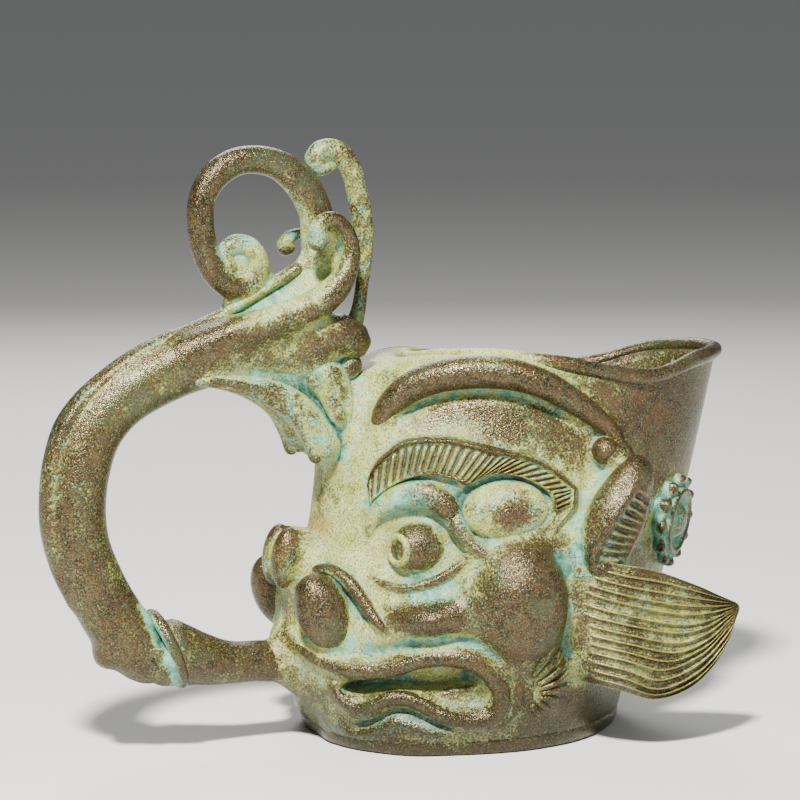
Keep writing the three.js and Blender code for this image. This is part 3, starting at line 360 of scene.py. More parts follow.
class Egg:
    """Distance from an ellipsoid: its place, its three half sizes, and the directions they lie along."""

    def __init__(self, place, sizes, blend, directions=None, shrink=0.35):
        self.place, self.sizes = np.asarray(place, float), np.asarray(sizes, float)
        self.directions = np.eye(3) if directions is None else np.asarray(directions, float)
        self.blend, self.shrink = blend, shrink
        reach = self.sizes.max()
        self.low, self.high = self.place - reach, self.place + reach

    def away(self, points):
        """Nearly the distance: k0 (k0 - 1) / k1, with the lengths of place / size and place / size**2."""
        local = (points - self.place) @ self.directions.T
        k0 = np.linalg.norm(local / self.sizes, axis=1)
        k1 = np.linalg.norm(local / self.sizes**2, axis=1)
        return k0 * (k0 - 1) / np.maximum(k1, 1e-9) + self.shrink


print("a limb is a tube or an egg")

# %% [markdown]
# The skin then slides outwards until it lies on a smooth union of itself and the limbs, so it climbs every
# limb in a soft fillet, as wax does that is smoothed with a warm finger.
# %% Melting the skin into the limbs
MELT_STEPS = 26


def melt(points, facing, limbs, reach):
    """How far each point slides out along its facing to the smooth union of its surface and the limbs.

    The smooth union of distances a and b is the smaller one, less h * h * k / 4, where k is the fillet and
    h is 1 less their difference over k. Points start at the reach and step inwards by the distance."""
    low = np.min([limb.low for limb in limbs], 0) - reach
    high = np.max([limb.high for limb in limbs], 0) + reach
    busy = np.nonzero(((points > low) & (points < high)).all(1))[0]
    rise = np.zeros(len(points))
    slide = np.full(len(busy), float(reach))
    for _ in range(MELT_STEPS):
        at = points[busy] + facing[busy] * slide[:, None]
        gap = slide.copy()
        for limb in limbs:
            near = ((at > limb.low - limb.blend) & (at < limb.high + limb.blend)).all(1)
            if not near.any():
                continue
            away = limb.away(at[near])
            h = np.maximum(limb.blend - np.abs(gap[near] - away), 0) / limb.blend
            gap[near] = np.minimum(gap[near], away) - h * h * limb.blend / 4
        slide = np.maximum(slide - 0.9 * gap, 0)
    rise[busy] = slide
    return rise


def on_skin(knots):
    """Rows of x, y, z, radius and the outward direction from chart knots of x, z, radius and crest height.

    The bar's middle lies so that its crest stands at the crest height."""
    knots = np.asarray(knots, float)
    chord = np.r_[0, np.cumsum(np.linalg.norm(np.diff(knots[:, :2], axis=0), axis=1))]
    rows = through(chord, knots, np.linspace(0, chord[-1], max(int(chord[-1] / 0.5), 8)))
    x, z, radius, crest = rows.T
    return np.column_stack([skin(x, z, crest - radius), radius, outward(x, z)])


print("the skin finds a limb in", MELT_STEPS, "steps")

# %% [markdown]
# The limbs that are drawn on the chart: horn, eyelids, lips and the edge of the brow. On the goblet they
# are rolls of metal that lie on the face. A knot gives x, z, radius, and the crest's height over the skin.
# %% Limbs on the chart
HORN = [
    (-9.6, 71.6, 1.2, 0.6), (-8.6, 74.2, 2.3, 2.2), (-6.2, 77.8, 3.0, 3.4), (-2.6, 81.2, 3.4, 4.2),
    (2.0, 83.6, 3.6, 4.8), (7.6, 84.9, 3.7, 5.0), (13.2, 85.2, 3.7, 5.0), (19.3, 84.4, 3.5, 4.8),
    (25.6, 82.0, 3.2, 4.5), (31.6, 78.2, 2.8, 4.0), (36.8, 74.2, 2.4, 3.6), (40.3, 70.6, 2.0, 3.4),
    (41.3, 67.2, 1.7, 3.4),
]
HORN_BALL = dict(at=(37.7, 67.2), radius=3.2, height=1.8)
RIGHT_HORN_DROP = 2.5
LID_UPPER = [
    (-13.0, 48.4, 0.8, 0.7), (-12.2, 51.6, 1.5, 1.7), (-10.4, 55.0, 2.2, 2.6), (-7.6, 57.4, 2.7, 3.2),
    (-4.6, 58.6, 3.0, 3.5), (-1.6, 58.6, 3.0, 3.7), (1.0, 57.0, 2.9, 3.8), (2.8, 54.4, 2.6, 3.6),
    (3.8, 51.6, 2.3, 3.3), (5.0, 49.0, 2.0, 3.0), (6.4, 47.0, 1.7, 2.4), (8.4, 45.6, 1.3, 1.6),
    (10.4, 44.8, 0.8, 0.6),
]
LID_LOWER = [
    (-13.6, 40.2, 0.5, 0.2), (-11.6, 38.9, 0.9, 1.1), (-8.8, 38.2, 1.0, 1.5), (-5.6, 38.6, 1.1, 1.7),
    (-2.8, 39.6, 1.1, 1.7), (-0.2, 40.8, 1.1, 1.7), (2.2, 42.4, 1.0, 1.5), (4.2, 43.9, 0.8, 1.0),
    (6.2, 45.2, 0.6, 0.5),
]
LIPS = [
    (-26.8, 25.6, 0.9, 1.2), (-25.0, 23.0, 1.6, 2.2), (-21.2, 20.4, 1.9, 2.7), (-17.6, 19.6, 1.9, 2.7),
    (-13.2, 19.7, 1.9, 2.7), (-9.4, 20.9, 1.9, 2.7), (-5.6, 22.5, 1.9, 2.7), (-1.8, 23.3, 2.0, 2.8),
    (2.0, 23.2, 2.0, 2.8), (5.6, 21.9, 2.1, 2.9), (8.9, 19.1, 2.2, 3.0), (11.0, 15.6, 2.3, 3.1),
    (11.2, 12.2, 2.2, 3.0), (9.4, 9.4, 2.0, 2.8), (5.6, 8.5, 1.8, 2.6), (2.0, 9.1, 1.7, 2.6),
    (-1.6, 10.3, 1.7, 2.7), (-5.2, 12.3, 1.7, 2.9), (-8.4, 13.5, 1.7, 2.9), (-11.4, 13.2, 1.7, 2.9),
    (-14.0, 11.6, 1.6, 2.7), (-16.4, 10.9, 1.5, 2.5), (-18.8, 12.4, 1.3, 2.2), (-20.6, 15.0, 0.9, 1.4),
]
# outer end x and z, and inner end x and z, of every second rib of the brow
BROW_RIBS = np.array([
    (-12.4, 57.2, -12.3, 54.0), (-10.5, 62.8, -11.2, 56.4), (-7.6, 66.6, -9.0, 58.8),
    (-4.8, 68.4, -6.5, 60.8), (-2.2, 68.8, -4.2, 62.0), (0.3, 68.8, -2.0, 62.6), (3.1, 68.9, 0.3, 62.5),
    (6.0, 68.4, 2.5, 61.9), (9.7, 67.7, 4.5, 61.2), (12.4, 67.1, 6.1, 60.4), (15.2, 66.6, 8.2, 61.7),
    (17.7, 66.0, 11.1, 62.8), (20.2, 65.0, 13.9, 62.7), (23.4, 63.1, 17.5, 62.1), (25.6, 61.2, 20.8, 60.4),
    (27.7, 59.2, 23.0, 58.7), (27.8, 58.0, 24.0, 56.7), (27.2, 55.8, 24.1, 54.8), (25.9, 53.7, 24.0, 53.3),
    (19.9, 49.0, 20.1, 49.3),
])
# how far the brow goes past its ribs, and where between its edges the outer rim has its crest
BROW_MARGIN, BROW_CREST = 2.6, 0.16


def brow_place(s, t):
    """Chart place: s runs along the brow, t from 0 at the outer edge to 1 at the inner one."""
    rows = through(np.linspace(0, 1, len(BROW_RIBS)), BROW_RIBS, s)
    outer, inner = rows[..., :2], rows[..., 2:]
    outer = outer + unit(outer - inner) * BROW_MARGIN
    return outer + (inner - outer) * t[..., None]


brow_share = np.linspace(0.02, 0.97, 40)
brow_line = brow_place(brow_share, np.full(40, BROW_CREST))
brow_taper = smooth(brow_share, 0, 0.08) * smooth(1 - brow_share, 0, 0.12)
brow_edge = np.column_stack([brow_line, 0.5 + 0.7 * brow_taper, 2.1 * brow_taper])
chart_limbs = {
    "horn": (HORN, 3.0), "lid_upper": (LID_UPPER, 1.2), "lid_lower": (LID_LOWER, 1.4), "lips": (LIPS, 4.0),
    "brow_edge": (brow_edge, 1.8),
}
chart_rows = {name: on_skin(knots) for name, (knots, _) in chart_limbs.items()}
print({name: len(rows) for name, rows in chart_rows.items()})

# %% [markdown]
# The other limbs have a place in space or one on the chart: nose, nostrils, eyeballs, the boss of the
# temple, the cheek, the ear, the tongue, and the neck that carries the scrolls.
# %% Limbs in space
def turned(degrees):
    """The three directions of a frame that is turned about the Y axis."""
    c, s = np.cos(np.radians(degrees)), np.sin(np.radians(degrees))
    return np.array([[c, 0, -s], [0, 1, 0], [s, 0, c]])


def facing_frame(out, turn=0.0):
    """Directions along, outwards and up of a frame that lies on the skin."""
    out = unit(np.asarray(out, float))
    along = unit(np.cross([0, 0, 1.0], -out))
    up = np.cross(along, out)
    c, s = np.cos(np.radians(turn)), np.sin(np.radians(turn))
    return np.array([along * c + up * s, out, up * c - along * s])


NOSE = dict(place=(-27.4, -2.8, 42.8), sizes=(3.4, 3.3, 7.0), turn=8)
NOSTRIL = dict(place=(-22.6, -13.6, 32.0), sizes=(6.3, 6.0, 9.4), turn=-25)
NOSTRIL_CURL = [
    (-21.8, 40.2, 0.8, 2.6), (-19.6, 40.6, 1.3, 3.2), (-17.4, 38.8, 1.5, 3.0), (-15.6, 35.4, 1.5, 2.6),
    (-13.8, 31.8, 1.3, 2.2), (-11.8, 29.2, 0.9, 1.2),
]
EYE = dict(at=(-4.0, 47.2), radius=6.4, long=7.8, sunk=1.9)
PUPIL_LOOK = unit(np.array([-0.955, -0.29, 0.03]))
BOSS = dict(at=(13.8, 55.0), sizes=(9.8, 4.4, 6.9), turn=-4)
TONGUE = [
    (-60.2, 0, 24.8, 7.0), (-56, 0, 23.3, 7.7), (-51.5, 0, 21.9, 7.0), (-47.5, 0, 20.8, 6.1),
    (-43, 0, 19.7, 5.3), (-38.7, 0, 19.2, 4.8), (-34, 0, 19.1, 4.7), (-30, 0, 18.7, 4.7),
    (-25, 0, 17.9, 4.2), (-18, 0, 17.2, 3.2), (-10, 0, 17, 2.4),
]
NECK = [
    (-23, 0, 89, 6.2), (-19, 0, 83.8, 7.0), (-16.4, 0, 78, 7.2), (-13, 0, 72, 7.0), (-9.5, 0, 66, 6.0),
]
NOSE_ROOT = dict(place=(-22.6, 0, 40.2), sizes=(5.0, 6.4, 6.6))
MANE_ROOT = dict(place=(38.5, -35.0, 27.5), sizes=(10.0, 5.0, 9.0), turn=12)
CHEEK = dict(at=(15.6, 35.4), sizes=(10.2, 7.6, 12.6), sunk=4.6)
EAR_AXIS = [
    (34.6, -36.0, 38.6, 2.4), (34.8, -37.0, 42.6, 5.6), (36.2, -37.8, 48.2, 7.0), (38.2, -38.4, 53.3, 7.2),
    (40.7, -38.4, 58.4, 6.2), (43.0, -37.8, 63.4, 4.2), (44.2, -36.8, 66.6, 2.2),
]
eye_place = skin(*EYE["at"], -EYE["sunk"])
boss_place = skin(*BOSS["at"], -1.2)
boss_frame = facing_frame(outward(*BOSS["at"]), BOSS["turn"])
horn_ball_place = skin(*HORN_BALL["at"], HORN_BALL["height"])
ear_inside = np.array(EAR_AXIS) * [1, 1, 1, 0.7] + [-1.6, 1.8, 0, 0]
look_across = unit(np.cross(PUPIL_LOOK, [0, 0, 1.0]))
EYE_FRAME = np.array([PUPIL_LOOK, look_across, np.cross(look_across, PUPIL_LOOK)])
head_limbs = [Tube(chart_rows[name], blend) for name, (_, blend) in chart_limbs.items()]
head_limbs += [
    Egg(NOSE["place"], NOSE["sizes"], 3.0, turned(NOSE["turn"])),
    Egg(NOSTRIL["place"], NOSTRIL["sizes"], 3.0, turned(NOSTRIL["turn"]), 0.5),
    Tube(on_skin(NOSTRIL_CURL), 1.6),
    Egg(eye_place, [EYE["long"], EYE["radius"], EYE["radius"]], 2.2, EYE_FRAME),
    Egg(boss_place, BOSS["sizes"], 1.0, boss_frame, 0.5),
    Egg(skin(5.2, 44.9), (1.5, 1.4, 1.2), 1.2),
    Egg(horn_ball_place, [HORN_BALL["radius"]] * 3, 1.2),
    Egg(NOSE_ROOT["place"], NOSE_ROOT["sizes"], 4.0, None, 0.5),
    Egg(MANE_ROOT["place"], MANE_ROOT["sizes"], 6.0, turned(MANE_ROOT["turn"])),
    Egg(skin(*CHEEK["at"], -CHEEK["sunk"]), CHEEK["sizes"], 4.0, facing_frame(outward(*CHEEK["at"]))),
    Tube(ear_inside, 5.0, 0.6),
    Tube(TONGUE, 6.0),
    Tube(NECK, 6.0),
]
print("limbs on the head:", len(head_limbs))

# %% [markdown]
# ## Making closed surfaces
# Every piece is a grid of points, rings by columns, closed at its two ends by a pole or bent round to meet
# itself. A left piece is mirrored to give the right one.
# %% Shells
pieces = {}


def shell(rings, start=None, end=None, meets_itself=False):
    """Points, squares and triangles of a closed surface through rings of points.

    Square (i, j) joins places j and j + 1 of ring i to those of ring i + 1. An end is a fan to its pole."""
    rings = np.asarray(rings, float)
    n, m = rings.shape[:2]
    i, j = np.meshgrid(np.arange(n if meets_itself else n - 1), np.arange(m), indexing="ij")
    below, right = (i + 1) % n, (j + 1) % m
    squares = np.stack([i * m + j, i * m + right, below * m + right, below * m + j], -1).reshape(-1, 4)
    points, fans = [rings.reshape(-1, 3)], []
    k = np.arange(m)
    for pole, row, order in ((start, 0, 1), (end, n - 1, -1)):
        if pole is None:
            continue
        tip = np.full(m, n * m + len(points) - 1)
        points.append(np.asarray(pole, float)[None])
        fans.append(np.stack([tip, row * m + (k + 1) % m, row * m + k], -1)[:, ::order])
    fans = np.concatenate(fans) if fans else np.zeros((0, 3), int)
    return np.concatenate(points), squares, fans


def corners(points, squares, fans):
    """The three corners of every triangle, where a square counts as two."""
    triangles = np.concatenate([squares[:, [0, 1, 2]], squares[:, [0, 2, 3]], fans])
    return np.moveaxis(points[triangles], 1, 0)


def volume(points, squares, fans):
    """Sum of the pyramids from the origin to the triangles: a . (b x c) / 6. Below 0 it is inside out."""
    a, b, c = corners(points, squares, fans)
    return float((a * np.cross(b, c)).sum() / 6)


def keep(node, slot, surface, rib=None):
    """Stores a piece with its faces turned outwards. rib is a mark from -1 in a groove to 1 on a ridge."""
    points, squares, fans = surface
    if volume(points, squares, fans) < 0:
        squares, fans = squares[:, ::-1], fans[:, ::-1]
    mark = np.zeros(len(points))
    if rib is not None:
        mark[: rib.size] = rib.ravel()
    pieces[node] = dict(points=points, squares=squares, fans=fans, slot=slot, rib=mark)


def mirrored(surface, drop=0.0):
    """The right twin of a left surface."""
    return surface[0] * [1, -1, 1] - [0, 0, drop], surface[1][:, ::-1], surface[2][:, ::-1]


def keep_pair(name, slot, surface, rib=None, right_drop=0.0):
    """Stores a left piece and its right twin, which can sit lower."""
    keep(name + "_left", slot, surface, rib)
    keep(name + "_right", slot, mirrored(surface, right_drop), rib)


def merged(*surfaces):
    """One piece of several closed surfaces that run into one another."""
    points, squares, fans, start = [], [], [], 0
    for p, q, f in surfaces:
        points.append(p)
        squares.append(q + start)
        fans.append(f + start)
        start += len(p)
    return np.concatenate(points), np.concatenate(squares), np.concatenate(fans)


def around(count):
    """Angles of a full turn."""
    return np.linspace(0, 2 * np.pi, count, endpoint=False)


def closed(rings):
    """Shell with a pole in the middle of its first and last ring."""
    return shell(rings, rings[0].mean(0), rings[-1].mean(0))


print("shells are ready")

# %% [markdown]
# Most of the goblet's ornament is bars: the handle, the scrolls, the horns and the lips. The caster rolled
# them out of wax and laid them on. A bar is a ring that is carried along a line, and an egg is a ball.
# %% Bars and eggs
def sweep(rows, up, sides, flat=1.0, section=None, caps=(1.0, 1.0), meets_itself=False):
    """Bar along rows of x, y, z and radius. Its ends are rounded like an egg's.

    A ring is middle + across * radius * cos(angle) + up * radius * flat * sin(angle). section(along, angle)
    may give other factors for the two. Over a length of cap * radius at an end the ring shrinks by
    sqrt(1 - (1 - distance / length) ** 2)."""
    rows = np.asarray(rows, float)
    middle, radius = rows[:, :3], rows[:, 3:4]
    if meets_itself:
        along = unit(np.roll(middle, -1, 0) - np.roll(middle, 1, 0))
    else:
        along = unit(np.gradient(middle, axis=0))
    across = unit(np.cross(along, np.broadcast_to(up, middle.shape)))
    up = np.cross(across, along)
    run = np.r_[0, np.cumsum(np.linalg.norm(np.diff(middle, axis=0), axis=1))][:, None]
    shrink = np.ones_like(radius)
    if not meets_itself:
        for cap, gone in ((caps[0], run), (caps[1], run[-1] - run)):
            if cap:
                shrink *= np.sqrt(1 - (1 - np.minimum(gone / (radius * cap), 1)) ** 2)
    angle = around(sides)[None, :]
    if section is None:
        aside, height = np.cos(angle) * np.ones_like(run), flat * np.sin(angle) * np.ones_like(run)
    else:
        aside, height = section(run / run[-1], angle)
    scale = (radius * shrink)[..., None]
    rings = middle[:, None] + scale * (aside[..., None] * across[:, None] + height[..., None] * up[:, None])
    if meets_itself:
        return shell(rings, meets_itself=True)
    inner = rings[1:-1]
    return shell(inner, middle[0], middle[-1])


ACROSS = [0, 1.0, 0]


def in_plane(knots, y=0.0):
    """Knots of x, z and radius, put in the upright plane at y."""
    knots = np.asarray(knots, float)
    return np.column_stack([knots[:, 0], np.full(len(knots), y), knots[:, 1:]])


def plane_bar(knots, y, step, sides, flat=1.0, section=None):
    """Bar in the upright plane at y, from knots of x, z and radius."""
    knots = in_plane(knots, y)
    return sweep(walk(knots, step, knots[[0, -1], 3]), ACROSS, sides, flat, section)


def chart_bar(knots, step=0.45, sides=24):
    """Bar on the head's side, from chart knots. Its up direction is square to the skin."""
    knots = in_plane(knots)
    x, _, z, radius, crest = walk(knots, step, knots[[0, -1], 3]).T
    return sweep(np.column_stack([skin(x, z, crest - radius), radius]), outward(x, z), sides)


def egg(place, sizes, directions=None, rows=40, columns=56):
    """Egg with its poles along the second direction."""
    directions = np.eye(3) if directions is None else np.asarray(directions, float)
    polar = np.linspace(0, np.pi, rows + 2)[1:-1][:, None]
    angle = around(columns)[None, :]
    ring, height = np.sin(polar), np.cos(polar) + 0 * angle
    ball = np.stack([ring * np.cos(angle), height, ring * np.sin(angle)], -1)
    poles = np.array([[0, 1.0, 0], [0, -1.0, 0]])
    rings, poles = (np.asarray(place, float) + (v * np.asarray(sizes)) @ directions for v in (ball, poles))
    return shell(rings, *poles)


print("bars and eggs are ready")

# %% [markdown]
# ## The cup's body
# The real cup is cast round a core that leaves it hollow. Rows of the body run from the foot up the outside,
# over the crown, round the edge of the mouth and down the inside to the bowl, so that it is one closed skin.
# %% Rings of the body
COLUMNS_AHEAD, COLUMNS_BEHIND = 330, 150
OUTSIDE_ROWS, CROWN_ROWS, INSIDE_ROWS = 156, 12, 38
# height of the section that gives the places of the mouth's edge, and of the cup's floor
EDGE_SECTION, BOWL = 86.0, 12.0
CAVITY = np.array([
    # height, front, share of the section
    [12, -4, 0.3], [13.5, -8, 0.55], [18, -10, 0.78], [32, -11, 0.94], [55, -8, 1], [75, 2, 1], [96, 7, 1],
])
ahead = np.linspace(np.pi / 2, 3 * np.pi / 2, COLUMNS_AHEAD, endpoint=False)
behind = np.linspace(-np.pi / 2, np.pi / 2, COLUMNS_BEHIND, endpoint=False)
turn = np.r_[ahead, behind]


def head_ring(z, lift=True):
    """Ring of the head's outside. z is one height for each column."""
    front, rear, widest, half, front_power, rear_power = section(z)
    c, s = np.cos(turn), np.sin(turn)
    reach = np.where(c < 0, widest - front, rear - widest)
    power = 2 / np.where(c < 0, front_power, rear_power)
    x = widest + reach * np.sign(c) * np.abs(c) ** power
    y = half * np.abs(s) ** power
    side = np.where(s < 0, -1.0, 1.0)
    out = outward(x, z) * np.stack([np.ones_like(x), -side, np.ones_like(x)], -1)
    place = np.stack([x, side * y, z], -1)
    if lift:
        place = place + out * (relief(x, z) * smooth(y, 0, 8))[:, None]
    return place, out


edge_x, edge_y = head_ring(np.full(len(turn), EDGE_SECTION), False)[0][:, :2].T
_, rim_rear, rim_widest, rim_half = section(np.full(len(turn), RIM_SECTION))[:4]
rim_reach = np.where(np.cos(turn) < 0, rim_widest - MOUTH_FRONT, rim_rear - rim_widest - WALL / 2)
rim_x = rim_widest + rim_reach * np.cos(turn)
rim_y = (rim_half - WALL / 2 + RIM_FLARE) * np.sin(turn)
rim_line = np.column_stack([rim_x, rim_y, rim_height(rim_x, rim_y) - RIM_RADIUS])
edge_height = rim_height(edge_x, edge_y) - RIM_RADIUS

outside, facing = [], []
for share in np.linspace(0, 1, OUTSIDE_ROWS):
    place, out = head_ring(FOOT_TOP + (edge_height - FOOT_TOP) * share)
    outside.append(place)
    facing.append(out)
outside, facing = np.array(outside), np.array(facing)
crown = []
for share in np.linspace(0, 1, CROWN_ROWS + 1)[1:]:
    place = outside[-1] * (1 - share) + rim_line * share
    gap = np.linalg.norm(outside[-1] - rim_line, axis=1)
    # the crown bulges between the wall and the rim, most where they lie far apart
    place[:, 2] += 4 * share * (1 - share) * np.minimum(gap * 0.12, 1.8)
    crown.append(place)
crown = np.array(crown)
inside = []
for share in np.linspace(0, 1, INSIDE_ROWS + 1)[1:]:
    z = rim_line[:, 2] + (BOWL - rim_line[:, 2]) * share**1.1
    front, rear, _, half = section(z)[:4]
    cavity_front, cavity_share = through(CAVITY[:, 0], CAVITY[:, 1:], z).T
    length = (rear - WALL - cavity_front) / 2
    inside.append(np.stack([
        (cavity_front + rear - WALL) / 2 + np.cos(turn) * length * cavity_share,
        np.sin(turn) * (half - SIDE_WALL) * cavity_share,
        z,
    ], -1))
inside = np.array(inside)
print("rings of the body:", len(outside) + len(crown) + len(inside))

# %% [markdown]
# The outside and the crown are melted into the limbs, side by side. On the right the horn sits lower.
# %% Melting the body
lean = np.linspace(0, 1, CROWN_ROWS + 1)[1:, None, None]
crown_facing = unit(facing[-1] * (1 - lean) + np.array([0, 0, 1.0]) * (0.3 + lean))
skin_points = np.concatenate([outside, crown]).reshape(-1, 3)
skin_facing = np.concatenate([facing, crown_facing]).reshape(-1, 3)
low_horn = Tube(chart_rows["horn"] - [0, 0, RIGHT_HORN_DROP, 0, 0, 0, 0], chart_limbs["horn"][1])


def melt_sides(points, facing, left_limbs, right_limbs, reach):
    """Melts the left half and the right half, the right one as its mirror image."""
    for right, fold, limbs in ((False, [1, 1, 1], left_limbs), (True, [1, -1, 1], right_limbs)):
        chosen = np.nonzero((points[:, 1] > 0) == right)[0]
        rise = melt(points[chosen] * fold, facing[chosen] * fold, limbs, reach)
        points[chosen] += facing[chosen] * rise[:, None]


melt_sides(skin_points, skin_facing, head_limbs, [low_horn] + head_limbs[1:], 9.0)
body = np.concatenate([skin_points.reshape(-1, len(turn), 3), inside])
keep("cup_body", "green_patina", shell(body, [18, 0, FOOT_TOP - 0.05], [26, 0, BOWL - 0.2]))
print("cup body:", len(pieces["cup_body"]["squares"]) * 2, "triangles")

# %% [markdown]
# The foot is a plate with the head's lowest outline: the casting is ground flat there, so that the cup
# stands. The mouth has a rolled edge that is kind to the lip. It is a bar that meets itself.
# %% Foot and mouth
FOOT_MIDDLE = np.array([18.0, 0, 0])
# share of the head's lowest ring, and height
FOOT_PROFILE = [
    (0.4, 0), (0.955, 0), (0.972, 0.15), (0.985, 0.6), (0.996, 1.6), (1.0, 2.6),
    (0.998, FOOT_TOP + 0.2), (0.99, FOOT_TOP + 0.8), (0.9, FOOT_TOP + 0.8),
]
foot_spread = body[0] * [1, 1, 0] - FOOT_MIDDLE
foot_rings = [FOOT_MIDDLE + foot_spread * share + [0, 0, z] for share, z in FOOT_PROFILE]
foot_pole = FOOT_MIDDLE + [0, 0, FOOT_TOP + 0.8]
keep("foot_plate", "worn_bronze", shell(foot_rings, FOOT_MIDDLE, foot_pole))
dense = around(420)
columns = [np.interp(dense, turn % (2 * np.pi), column, period=2 * np.pi) for column in rim_line.T]
rim_radius = RIM_RADIUS * (1 + 0.05 * np.sin(dense * 7) + 0.04 * np.sin(dense * 13 + 1))
rim_out = np.stack([np.cos(dense), np.sin(dense), 0 * dense], -1)
rim_rows = np.column_stack([*columns, rim_radius])
keep("mouth_rim", "worn_bronze", sweep(rim_rows, rim_out, 24, meets_itself=True))
print("rim from", columns[2].min().round(1), "to", columns[2].max().round(1), "mm high")

# %% [markdown]
# ## Tongue, handle and crest
# The handle is a round bar that swells at its heel and under the crest. The tongue widens into a sheath with
# a raised collar, and wraps the handle's lower end.
# %% Handle and tongue
HANDLE = [
    (-53.5, 19.8, 3.6), (-57.5, 21.2, 5.4), (-61.2, 23.6, 6.4), (-64.8, 27.8, 7.1), (-68.0, 32.6, 7.0),
    (-71.8, 39.8, 6.7), (-74.6, 47.4, 6.6), (-75.6, 56, 6.6), (-74.6, 65, 6.4), (-71.6, 73, 6.3),
    (-65.6, 80, 6.4), (-57.4, 85.0, 6.6), (-48, 88.4, 7.0), (-38, 90.6, 7.6), (-28, 91.4, 7.8),
    (-20.4, 90.6, 7.0), (-15.6, 88.2, 5.4),
]


def handle_section(u, angle):
    """A round section with flattened cheeks: it is a little narrower across the plane of the loop."""
    across = np.cos(angle) * (1 + 0.02 * np.sin(2 * np.pi * u * 5))
    side = np.sin(angle) * (0.94 + 0.05 * np.sin(2 * np.pi * u * 3 + 1))
    return across + 0 * u, side + 0 * u


COLLAR_MIDDLE, COLLAR_UP = np.array([-55.2, 0, 23.6]), np.array([-0.37, 0, 0.93])
COLLAR_HIGH, COLLAR_WIDE, COLLAR_RADIUS = 8.5, 7.25, 1.3
collar_turn = around(120)[:, None]
collar_out = (
    np.cos(collar_turn) * COLLAR_UP * COLLAR_HIGH + np.sin(collar_turn) * np.array(ACROSS) * COLLAR_WIDE
)
collar_rows = np.column_stack([COLLAR_MIDDLE + collar_out, COLLAR_RADIUS + 0.2 * np.cos(collar_turn)])
collar = sweep(collar_rows, unit(collar_out), 20, meets_itself=True)
tongue_bar = sweep(walk(TONGUE, 0.7, (6, 2.4)), ACROSS, 40, caps=(0.8, 1))
keep("tongue", "worn_bronze", merged(tongue_bar, collar))
keep("handle_neck", "green_patina", sweep(walk(NECK, 0.8, (6, 6)), ACROSS, 40, flat=1.2))
print("tongue:", len(pieces["tongue"]["squares"]) * 2, "triangles")

# %% [markdown]
# Scrolls rise from the handle's upper end: a keel that runs up its back, a leaf with a rolled edge on either
# side, a ring and a thin tendril in the middle. Buds hang under it. Knots are x, z and radius.
# %% Lines of the crest
SPINE = [
    (-76.5, 36, 0.9), (-80.0, 44, 1.6), (-81.5, 52, 2.2), (-81.7, 60, 2.2), (-80.7, 68, 2.1),
    (-78.2, 75.2, 2.1), (-74, 80.8, 2.0), (-68.2, 85.6, 1.9), (-62, 89.6, 1.8), (-55.3, 92.8, 1.7),
    (-49, 95.2, 1.5), (-42, 98.0, 1.4), (-36, 101.2, 1.4), (-30.5, 104.2, 1.4), (-26.0, 106.6, 1.4),
    (-22.5, 109.0, 1.4),
]
LOBE = [(-21, 92.4, 4.4), (-16.5, 93.2, 4.9), (-13.0, 92.8, 4.7), (-11.4, 91.4, 4.0)]
LOBE_LOW = [(-15.4, 87.0, 2.8), (-12.6, 85.8, 3.4), (-10.4, 84.0, 3.4)]
# the rolled edge of the leaf, as x, y, z and radius
LEAF_RIDGE = [
    (-50, -4.6, 91.4, 1.4), (-45, -6.0, 93.4, 2.2), (-37.7, -7.0, 95.8, 2.9), (-29.4, -7.8, 98.0, 3.3),
    (-21.8, -8.4, 100.8, 3.5), (-16.8, -8.8, 104.8, 3.0), (-14.3, -8.8, 109.4, 2.3),
    (-13.7, -8.8, 113.2, 1.8), (-14.9, -8.9, 116.8, 1.6), (-17.6, -9.0, 119.2, 1.7),
    (-20.4, -9.1, 119.2, 1.8), (-22.2, -9.3, 117.2, 2.0), (-22.2, -9.5, 114.8, 2.2),
    (-21.0, -9.6, 112.8, 1.8),
]
# where the leaf's hollow face meets the middle plane
LEAF_INNER = [
    (-52, 94.0), (-46, 96.0), (-40, 98.8), (-33, 102.6), (-27.5, 105.6), (-24, 108.4), (-22.4, 111.6),
    (-21.6, 114.4), (-20.8, 117.0),
]
RING = [
    (-19.0, 106, 3.2), (-18.4, 110.6, 3.6), (-18.4, 115.4, 3.8), (-18.8, 120.5, 3.8), (-22.4, 127.2, 3.8),
    (-28.6, 131.6, 3.3), (-36.2, 132.4, 3.1), (-42.2, 129.6, 3.2), (-45.6, 124.6, 3.0), (-46.2, 119, 3.0),
    (-45.2, 112.6, 3.0), (-42.6, 107.4, 3.0), (-38.6, 104.4, 2.9), (-34.4, 105.6, 2.7), (-32.8, 109.4, 2.6),
    (-34.8, 113.0, 2.4), (-38.2, 113.8, 2.2), (-40.6, 111.8, 2.0), (-39.6, 109.2, 1.9), (-37.6, 109.6, 2.1),
]
TENDRIL = [
    (-9.8, 94, 2.2), (-8.4, 98, 1.7), (-7.6, 103, 1.5), (-6.8, 109.3, 1.7), (-7.1, 115.7, 2.3),
    (-7.9, 121, 2.5), (-8.9, 126, 2.4), (-10.4, 130.6, 2.4), (-13.4, 134.0, 2.5), (-16.8, 134.5, 2.4),
    (-18.9, 132.9, 2.3), (-18.6, 130.9, 1.9), (-16.8, 130.2, 1.5), (-15.2, 131.2, 1.3),
]
BUD = [
    (-50.5, 84.6, 0.9), (-43, 83.8, 1.8), (-35, 82.0, 2.7), (-28, 78.8, 3.4), (-22.6, 73.8, 3.9),
    (-19.6, 69.0, 4.1), (-18.2, 66.2, 3.6), (-18.6, 64.6, 2.4),
]
